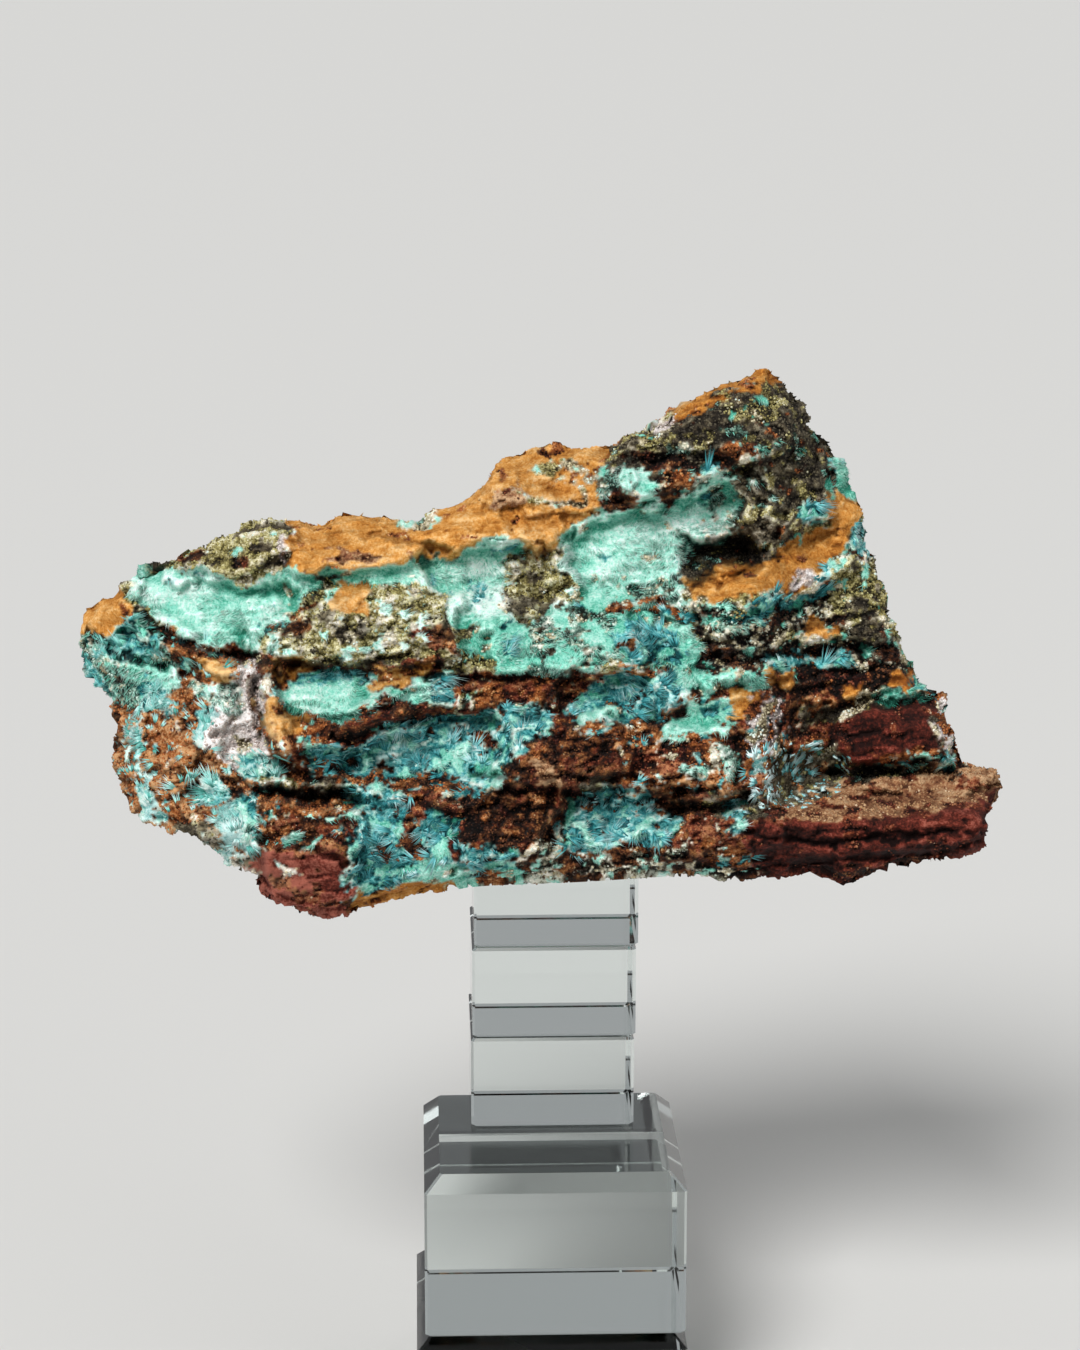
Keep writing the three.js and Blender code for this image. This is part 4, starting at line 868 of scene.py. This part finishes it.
# Ironstone and what grows on it. The eye sees dry, rough mineral: dull, speckled by single grains
# of 0.2 to 1 mm, with painted shade darkening its pores and cracks. Each ramp runs from a mineral's
# pores to its palest grains.
COLOURS = {
    "ochre": [(0.12, "#94541E"), (0.34, "#C07C30"), (0.56, "#D89B50"), (0.80, "#EAC084")],
    "rust": [(0.20, "#3A1B0C"), (0.40, "#7A3E1B"), (0.58, "#A0602F"), (0.78, "#C8986A")],
    "olive": [(0.22, "#2E2818"), (0.40, "#736A3C"), (0.56, "#AAA068"), (0.74, "#DDD8B0")],
    "mint": [(0.14, "#3FA88D"), (0.34, "#7FD3BD"), (0.54, "#AEEAD9"), (0.76, "#E6FAF3")],
    "teal": [(0.16, "#164F54"), (0.36, "#318F93"), (0.56, "#6CC2C0"), (0.80, "#C2EAE6")],
    "sage": [(0.26, "#22352C"), (0.40, "#5E8474"), (0.54, "#96BCAA"), (0.72, "#DCEBE0")],
    "dark": [(0.20, "#25201A"), (0.42, "#443B2D"), (0.60, "#655A44"), (0.82, "#857B62")],
    "pepper": [(0.32, "#0F0C0A"), (0.44, "#3F3228"), (0.56, "#84866F"), (0.70, "#D6DCCB")],
    "red": [(0.20, "#220C07"), (0.40, "#531F12"), (0.58, "#7B3A21"), (0.80, "#AC724E")],
    "brown": [(0.24, "#110805"), (0.42, "#36190D"), (0.60, "#5F3218"), (0.82, "#94643A")],
    "block": [(0.20, "#200906"), (0.42, "#471A11"), (0.60, "#6E2C20"), (0.82, "#9C5848")],
    "tan": [(0.20, "#4F2C1B"), (0.42, "#85543A"), (0.60, "#A4744F"), (0.78, "#C6A07A")],
    "pink": [(0.22, "#6E6664"), (0.38, "#B0A6A2"), (0.54, "#D2C8C4"), (0.72, "#F2EEEC")],
    "cream": [(0.22, "#6E6046"), (0.38, "#BDB08C"), (0.56, "#E0D7BE"), (0.74, "#F6F1E4")],
}
ironstone, tree = new_material("limonite and hematite with mineral crusts")
place = add_node(tree, "ShaderNodeTexCoord").outputs["Object"]
grains = add_node(tree, "ShaderNodeTexNoise", Vector=place, Scale=1.9 * PER_MM, Detail=4.0, Roughness=0.7)
blotches = add_node(tree, "ShaderNodeTexNoise", Vector=place, Scale=0.3 * PER_MM, Detail=3.0, Roughness=0.6)
along = add_node(tree, "ShaderNodeMapping", Vector=place, Scale=(0.3, 0.3, 1.0))
sheets = add_node(tree, "ShaderNodeTexNoise", Vector=along.outputs["Vector"], Scale=0.9 * PER_MM, Detail=2.0)
coarse = add_node(tree, "ShaderNodeMix", {"data_type": "FLOAT"}, _0=0.45, _2=blotches.outputs["Fac"],
                  _3=sheets.outputs["Fac"])
speckle = add_node(tree, "ShaderNodeMix", {"data_type": "FLOAT"}, _0=0.55, _2=coarse.outputs[0],
                   _3=grains.outputs["Fac"])
spread = add_node(tree, "ShaderNodeMapRange", Value=speckle.outputs[0], From_Min=0.36, From_Max=0.64,
                  To_Min=0.2, To_Max=0.8)
shift = add_attribute(tree, "tone")
tint = add_node(tree, "ShaderNodeMath", {"operation": "ADD"}, _0=spread.outputs["Result"],
                _1=shift.outputs["Fac"])
total = None
for name in MINERALS:
    own_colour = add_ramp(tree, tint.outputs[0], COLOURS[name])
    weight = add_attribute(tree, name)
    share = add_node(tree, "ShaderNodeVectorMath", {"operation": "SCALE"}, _0=own_colour,
                     Scale=weight.outputs["Fac"])
    if total is None:
        total = share
    else:
        total = add_node(tree, "ShaderNodeVectorMath", {"operation": "ADD"}, _0=total.outputs[0],
                         _1=share.outputs[0])
# The crevice attribute darkens the colour down to 0.14: painted shade in cracks, pores and hollows.
crevice_shade = add_attribute(tree, "crevice")
shade = add_node(tree, "ShaderNodeMapRange", Value=crevice_shade.outputs["Fac"], To_Min=1.0, To_Max=0.14)
# Proud edges are painted up to a quarter paler: a painted highlight.
edge_highlight = add_attribute(tree, "edge_dust_and_highlight")
light = add_node(tree, "ShaderNodeMapRange", Value=edge_highlight.outputs["Fac"], To_Min=1.0, To_Max=1.25)
both = add_node(tree, "ShaderNodeMath", {"operation": "MULTIPLY"}, _0=shade.outputs["Result"],
                _1=light.outputs["Result"])
colour = add_node(tree, "ShaderNodeVectorMath", {"operation": "SCALE"}, _0=total.outputs[0],
                  Scale=both.outputs[0])
bump = add_node(tree, "ShaderNodeBump", Height=speckle.outputs[0], Strength=0.8, Distance=0.0012)
dry = add_node(tree, "ShaderNodeBsdfPrincipled", Base_Color=colour.outputs[0], Roughness=0.85,
               Normal=bump.outputs["Normal"], Specular_IOR_Level=0.2)
add_node(tree, "ShaderNodeOutputMaterial", Surface=dry.outputs["BSDF"])
rock.data.materials.clear()
rock.data.materials.append(ironstone)
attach(rock, "root")
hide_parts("rock")


# Aurichalcite, (Zn,Cu)5(CO3)2(OH)6: needles of a few hundredths of a millimetre that grew from water
# in the hollows, in sprays on the blue ground and as a felt on the pale. They are drawn several times
# as thick as real, so that they show, and they stand in for the solid crusts.
CRUST_REACH = 2.6  # a needle this near a crust's solid is part of that crust
TUFTS = {"teal": 0.65, "notch": 0.34, "rust": 0.10}  # to the mm2
TUFT_NEEDLES = 13
FELT = 9.0  # needles to the mm2
corner_points = points[corners]
cross = np.cross(corner_points[:, 1] - corner_points[:, 0], corner_points[:, 2] - corner_points[:, 0])
areas = np.linalg.norm(cross, axis=1) / 2
middles = corner_points.mean(axis=1)
face_normals = on_faces(normals_of(smoothed(points, 4)))
face_normals /= np.linalg.norm(face_normals, axis=1, keepdims=True)
lit = np.clip(-face_normals[:, 1] * 0.75 + face_normals[:, 2] * 0.5 + 0.5, 0.15, 1)
face_crust = np.full(len(corners), -1)
growing = on_faces(weights["teal"] + weights["mint"] + weights["sage"])
face_x, face_z = in_view(middles)
in_notch = (line_distance(NOTCH, face_x, face_z, closed=True) > 0) & (middles[:, 1] < 5)
for number in np.flatnonzero((growing > 0.3) | in_notch):
    near = crust_tree.find(middles[number])
    if near[2] < CRUST_REACH:
        face_crust[number] = crust_of_point[near[1]]


def pick_ground(chance):
    """Picks places on the rock, each face by its chance times its area: points, normals and faces."""
    total = (chance * areas).sum()
    faces = seeded.choice(len(areas), size=int(total), p=chance * areas / total)
    a, b = seeded.random((2, len(faces)))
    flip = a + b > 1
    a[flip], b[flip] = 1 - a[flip], 1 - b[flip]
    first, second, third = corner_points[faces].transpose(1, 0, 2)
    return first + a[:, None] * (second - first) + b[:, None] * (third - first), face_normals[faces], faces


def unit(vectors):
    return vectors / np.maximum(np.linalg.norm(vectors, axis=1, keepdims=True), 1e-9)


def make_piece(name, at, faces, **attributes):
    mesh = bpy.data.meshes.new(name)
    mesh.vertices.add(len(at))
    mesh.vertices.foreach_set("co", (at / 1000).astype(np.float32).ravel())
    mesh.loops.add(faces.size)
    mesh.loops.foreach_set("vertex_index", faces.astype(np.int32).ravel())
    mesh.polygons.add(len(faces))
    mesh.polygons.foreach_set("loop_start", np.arange(0, faces.size, 3, dtype=np.int32))
    mesh.update(calc_edges=True)
    piece = bpy.data.objects.new(name, mesh)
    bpy.context.collection.objects.link(piece)
    for key, values in attributes.items():
        store(piece, key, values)
    return piece


def needles(roots, directions, lengths, widths):
    """A closed three-sided spike for each root: its points and faces."""
    side = unit(np.cross(directions, seeded.normal(size=directions.shape)))
    other = np.cross(directions, side)
    turns = [side, -0.5 * side + 0.87 * other, -0.5 * side - 0.87 * other]
    base = [roots + turn * (widths / 2)[:, None] for turn in turns]
    at = np.stack([*base, roots + directions * lengths[:, None]], axis=1).reshape(-1, 3)
    pattern = np.array([[0, 1, 3], [1, 2, 3], [2, 0, 3], [0, 2, 1]])
    faces = (np.arange(len(roots))[:, None, None] * 4 + pattern).reshape(-1, 3)
    return at, faces


# Sprays: where one is plainly seen, its needles fan out from a middle: [x, z], reach.
SPRAYS = [((-16, 126), 12), ((-32, 130), 7), ((10, 148.5), 8), ((32.4, 121.4), 5), ((37.5, 131.6), 4),
          ((42.7, 128.4), 6), ((-19, 115), 5), ((-34, 128), 8), ((-80, 150), 7), ((-59, 118), 7),
          ((4, 122), 7), ((17, 121), 6), ((-65, 136), 6), ((-74, 138), 6), ((-54, 127), 7)]
chance = np.where(on_faces(weights["rust"]) * (middles[:, 0] < -52) > 0.6, TUFTS["rust"], 0)
chance = np.where(in_notch, TUFTS["notch"], chance)
chance = np.where(on_faces(weights["teal"]) > 0.6, TUFTS["teal"], chance)
roots, out, faces = pick_ground(chance * lit)
tuft_x, tuft_z = in_view(roots)
heading = 3.1 * smooth_noise(tuft_x / 6, tuft_z / 6, 90) + 1.2
swirl = np.stack([np.cos(heading), np.zeros(len(heading)), np.sin(heading)], axis=1)
for (cx, cz), far in SPRAYS:
    away = np.stack([tuft_x - cx, np.zeros(len(tuft_x)), tuft_z - cz], axis=1)
    pull = ease(1.4 - np.linalg.norm(away, axis=1) / far)[:, None]
    swirl = unit(swirl * (1 - pull) + unit(away) * pull * 1.5)
swirl = unit(swirl + 0.45 * seeded.normal(size=swirl.shape))
flat = unit(swirl - out * np.einsum("ij,ij->i", swirl, out)[:, None])
rise = seeded.uniform(0.08, 0.4, len(roots))[:, None]
main = unit(flat * (1 - rise) + out * rise)
size = seeded.uniform(2.2, 5.6, len(roots)) * seeded.choice([0.5, 0.8, 1.0], len(roots))
facing = ease((-out[:, 1] - 0.3) / 0.45)
reach = (0.4 + 1.8 * facing) / np.maximum(np.einsum("ij,ij->i", main, out), 0.3)
size = np.minimum(size, reach)
size = np.minimum(size, 0.7 + 0.6 * np.maximum(line_distance(OUTLINE, tuft_x, tuft_z, closed=True), 0))
across = unit(np.cross(main, out))
fan_width = seeded.uniform(0.15, 0.6, (len(roots), 1, 1))
spread_out = seeded.uniform(-1, 1, (len(roots), TUFT_NEEDLES, 1))
stray = 0.04 * seeded.normal(size=(len(roots), TUFT_NEEDLES, 3))
fan = unit((main[:, None] + fan_width * spread_out * across[:, None] + stray).reshape(-1, 3))
start = (roots - out * 0.25)[:, None] + across[:, None] * spread_out * 0.3
tuft_tone = seeded.uniform(-0.22, 0.22, len(roots)) + 0.24 * smooth_noise(tuft_x / 5, tuft_z / 5, 91)
tuft_tone += 0.12 * (tuft_x < -50) * (tuft_z < 143) + 0.34 * in_notch[faces]
spray = {
    "root": start.reshape(-1, 3),
    "main": fan,
    "length": np.repeat(size, TUFT_NEEDLES) * seeded.uniform(0.6, 1, len(fan)),
    "width": seeded.uniform(0.24, 0.48, len(fan)) * np.repeat(1 + 1.0 * in_notch[faces], TUFT_NEEDLES),
    "tone": np.repeat(tuft_tone, TUFT_NEEDLES) + seeded.uniform(-0.16, 0.16, len(fan)),
    "pale": np.repeat(np.where(tuft_x < -50, 0.5, 0.0), TUFT_NEEDLES),
    "crust": np.repeat(face_crust[faces], TUFT_NEEDLES),
}
# Felt: short needles at every angle, painted darker green in hollows as shade.
on_pale = on_faces(weights["mint"] + 0.8 * weights["sage"])
roots, out, faces = pick_ground(np.where(on_pale > 0.4, FELT * on_pale, 0) * (0.4 + 0.6 * lit))
felt_x, felt_z = in_view(roots)
lean = 2.2 * smooth_noise(felt_x / 5, felt_z / 5, 95) - 0.9
drift = np.stack([np.cos(lean), np.zeros(len(lean)), np.sin(lean)], axis=1)
rock_tone = on_faces(tone - 0.2 * cloud - 0.2 * deep - 0.1 * weights["sage"])[faces]
felt = {
    "root": roots - out * 0.15,
    "main": unit(out * 0.3 + drift + 0.3 * seeded.normal(size=roots.shape)),
    "length": (seeded.uniform(0.7, 2.0, len(roots)) * (0.35 + 0.65 * ease((-out[:, 1] - 0.2) / 0.5))
               * (0.35 + 0.65 * ease((out[:, 2] + 0.4) / 0.4))),
    "width": seeded.uniform(0.13, 0.26, len(roots)),
    "tone": (seeded.uniform(-0.12, 0.12, len(roots)) + 0.07 * smooth_noise(felt_x / 4, felt_z / 3, 96)
             + 0.12 * smooth_noise(felt_x / 1.5, felt_z / 1.5, 97) + 0.20 + rock_tone
             - 0.45 * (seeded.random(len(roots)) < 0.08)),
    "pale": np.ones(len(roots)),
    "crust": face_crust[faces],
}
crop = {key: np.concatenate([spray[key], felt[key]]) for key in spray}

silk, tree = new_material("silky aurichalcite needles")
shade_of = add_attribute(tree, "tone")
blue = add_ramp(tree, shade_of.outputs["Fac"], [(0.0, "#154F56"), (0.28, "#30939A"), (0.55, "#72C6C8"),
                                                (1.0, "#DEF5F4")])
green = add_ramp(tree, shade_of.outputs["Fac"], [(0.0, "#369E85"), (0.28, "#73CDB5"), (0.56, "#ACE6D5"),
                                                 (1.0, "#E2F7F1")])
pale = add_attribute(tree, "pale")
body = add_node(tree, "ShaderNodeMix", {"data_type": "RGBA"}, _0=pale.outputs["Fac"], _6=blue, _7=green)
satin = add_node(tree, "ShaderNodeBsdfPrincipled", Base_Color=body.outputs[2], Roughness=0.5, IOR=1.65,
                 Specular_IOR_Level=0.3)
add_node(tree, "ShaderNodeOutputMaterial", Surface=satin.outputs["BSDF"])
for number, name in [*enumerate(crust_names), (-1, "")]:
    own = crop["crust"] == number
    at, faces = needles(crop["root"][own], crop["main"][own], crop["length"][own], crop["width"][own])
    shades = np.repeat(crop["tone"][own][:, None], 4, axis=1) + np.array([0.22, 0.22, 0.22, 0.72])
    piece = make_piece(f"{name or 'aurichalcite_scattered'}_needles", at, faces, tone=shades.ravel(),
                       pale=np.repeat(crop["pale"][own], 4))
    piece.data.materials.append(silk)
    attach(piece, "root")
    if name:
        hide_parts(name)


# Grains: loose-looking crystals of limonite, hematite, calcite and dusty aurichalcite, 0.3 to 0.9 mm,
# that are stuck all over the granular ground. Each is a rough lump of eight faces.
GRAIN_COLOURS = {  # ground: grains to the mm2, and their colours from the sheltered to the proud
    "olive": (3.2, ["#2E2817", "#60562F", "#8A7F4C", "#ABA168", "#C4BC8A", "#D9D4B2"]),
    "sage": (2.0, ["#26332C", "#4E6A5E", "#7C9C8C", "#A8C4B4", "#CFE0D4", "#E6EEE6"]),
    "pepper": (2.6, ["#17120E", "#33271F", "#5B4636", "#8C8F7A", "#C3D0C0", "#E4E6D8"]),
    "dark": (2.0, ["#2A251C", "#3A342A", "#4B4436", "#5D5543", "#6C634E", "#7E765E"]),
    "brown": (1.8, ["#150B07", "#30190E", "#4C2B18", "#6B4024", "#8A5C34", "#B4966C"]),
    "red": (1.6, ["#240F0A", "#4A2015", "#6A3220", "#8A4A30", "#A06A48", "#C4A488"]),
    "rust": (2.0, ["#3A1C0E", "#6E3A1E", "#8F5128", "#B06A38", "#C48C58", "#DCC8A4"]),
    "pink": (2.4, ["#6E625E", "#94867F", "#B3A29B", "#CDBFB8", "#DED4CE", "#EFE9E5"]),
    "cream": (2.4, ["#7C6F52", "#A89B78", "#CFC4A2", "#E2DAC2", "#D6E6DC", "#F4F0E4"]),
    "tan": (1.4, ["#5A3622", "#7C5236", "#976C4A", "#B08860", "#C09C76", "#D4B896"]),
}
OCTAHEDRON = np.array([(1, 0, 0), (-1, 0, 0), (0, 1, 0), (0, -1, 0), (0, 0, 1), (0, 0, -1)], float)
SIDES = np.array([(0, 2, 4), (2, 1, 4), (1, 3, 4), (3, 0, 4), (2, 0, 5), (1, 2, 5), (3, 1, 5), (0, 3, 5)])
crystal, tree = new_material("mineral grains")
own_tint = add_attribute(tree, "tint")
glint = add_node(tree, "ShaderNodeBsdfPrincipled", Base_Color=own_tint.outputs["Color"], Roughness=0.7,
                 Specular_IOR_Level=0.3)
add_node(tree, "ShaderNodeOutputMaterial", Surface=glint.outputs["BSDF"])
for ground, (thickly, colours) in GRAIN_COLOURS.items():
    roots, out, faces = pick_ground(np.where(on_faces(weights[ground]) > 0.5, thickly, 0) * lit ** 1.5)
    size = seeded.uniform(0.12, 0.42, (len(roots), 1, 1)) * seeded.uniform(0.6, 1.2, (len(roots), 6, 1))
    turned = unit(seeded.normal(size=(len(roots), 3)))
    side = unit(np.cross(turned, seeded.normal(size=turned.shape)))
    axes = np.stack([turned, side, np.cross(turned, side)], axis=1)
    at = roots[:, None] + np.einsum("vi,nij->nvj", OCTAHEDRON, axes) * size
    sides = (np.arange(len(roots))[:, None, None] * 6 + SIDES).reshape(-1, 3)
    piece = make_piece(f"{ground}_grains", at.reshape(-1, 3), sides)
    palette = np.array([srgb(colour) for colour in colours])
    grain_x, grain_z = in_view(roots)
    clump = smooth_noise(grain_x / 1.7, grain_z / 1.4, 98)
    # Grains in crevices take the darker colours: painted shade.
    grain_shade = on_faces(crevice)[faces] - 0.25
    step = 2.5 + 1.4 * clump - 2.4 * grain_shade + seeded.normal(0, 0.75, len(roots))
    chosen = palette[np.clip(np.round(step), 0, len(palette) - 1).astype(int)]
    layer = piece.data.color_attributes.new("tint", "FLOAT_COLOR", "POINT")
    layer.data.foreach_set("color", np.repeat(chosen, 6, axis=0).astype(np.float32).ravel())
    piece.data.materials.append(crystal)
    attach(piece, "root")


# Stage: a plain pale floor, soft light from the upper left, and the camera where the photograph
# was taken from.
bpy.ops.mesh.primitive_plane_add(size=40, location=(0, 0, 0))
floor = bpy.context.object
floor.name = "floor"
pale, tree = new_material("pale paper")
paper = add_node(tree, "ShaderNodeBsdfPrincipled", Base_Color=srgb("#D9D8D5"), Roughness=0.9)
add_node(tree, "ShaderNodeOutputMaterial", Surface=paper.outputs["BSDF"])
floor.data.materials.append(pale)

world = bpy.data.worlds.new("soft room")
world.use_nodes = True
world.node_tree.nodes["Background"].inputs["Color"].default_value = srgb("#E4E6E8")
world.node_tree.nodes["Background"].inputs["Strength"].default_value = 0.46
bpy.context.scene.world = world


def add_light(kind, name, place, energy, **settings):
    light = bpy.data.lights.new(name, kind)
    light.energy = energy
    for key, value in settings.items():
        setattr(light, key, value)
    lamp = bpy.data.objects.new(name, light)
    bpy.context.collection.objects.link(lamp)
    lamp.location = place
    lamp.rotation_euler = (Vector((0, 0, 0.14)) - Vector(place)).to_track_quat("-Z", "Y").to_euler()


add_light("SUN", "key", (-0.5, -1.05, 1.2), 3.0, angle=math.radians(24))
add_light("AREA", "fill", (0.8, -0.8, 0.45), 1.5, shape="SQUARE", size=0.7)

# The camera looks down by 13 degrees, with a lens and place solved from the blocks' corners.
camera = bpy.data.objects.new("camera", bpy.data.cameras.new("camera"))
bpy.context.collection.objects.link(camera)
camera.location = (-0.0251, -0.6637, 0.2993)
camera.rotation_euler = (math.radians(90 - 13.14), 0, math.radians(-1.98))
camera.data.lens = 95.4
camera.data.sensor_width = 36
camera.data.clip_start = 0.01
bpy.context.scene.camera = camera
bpy.context.scene.view_settings.view_transform = "Standard"
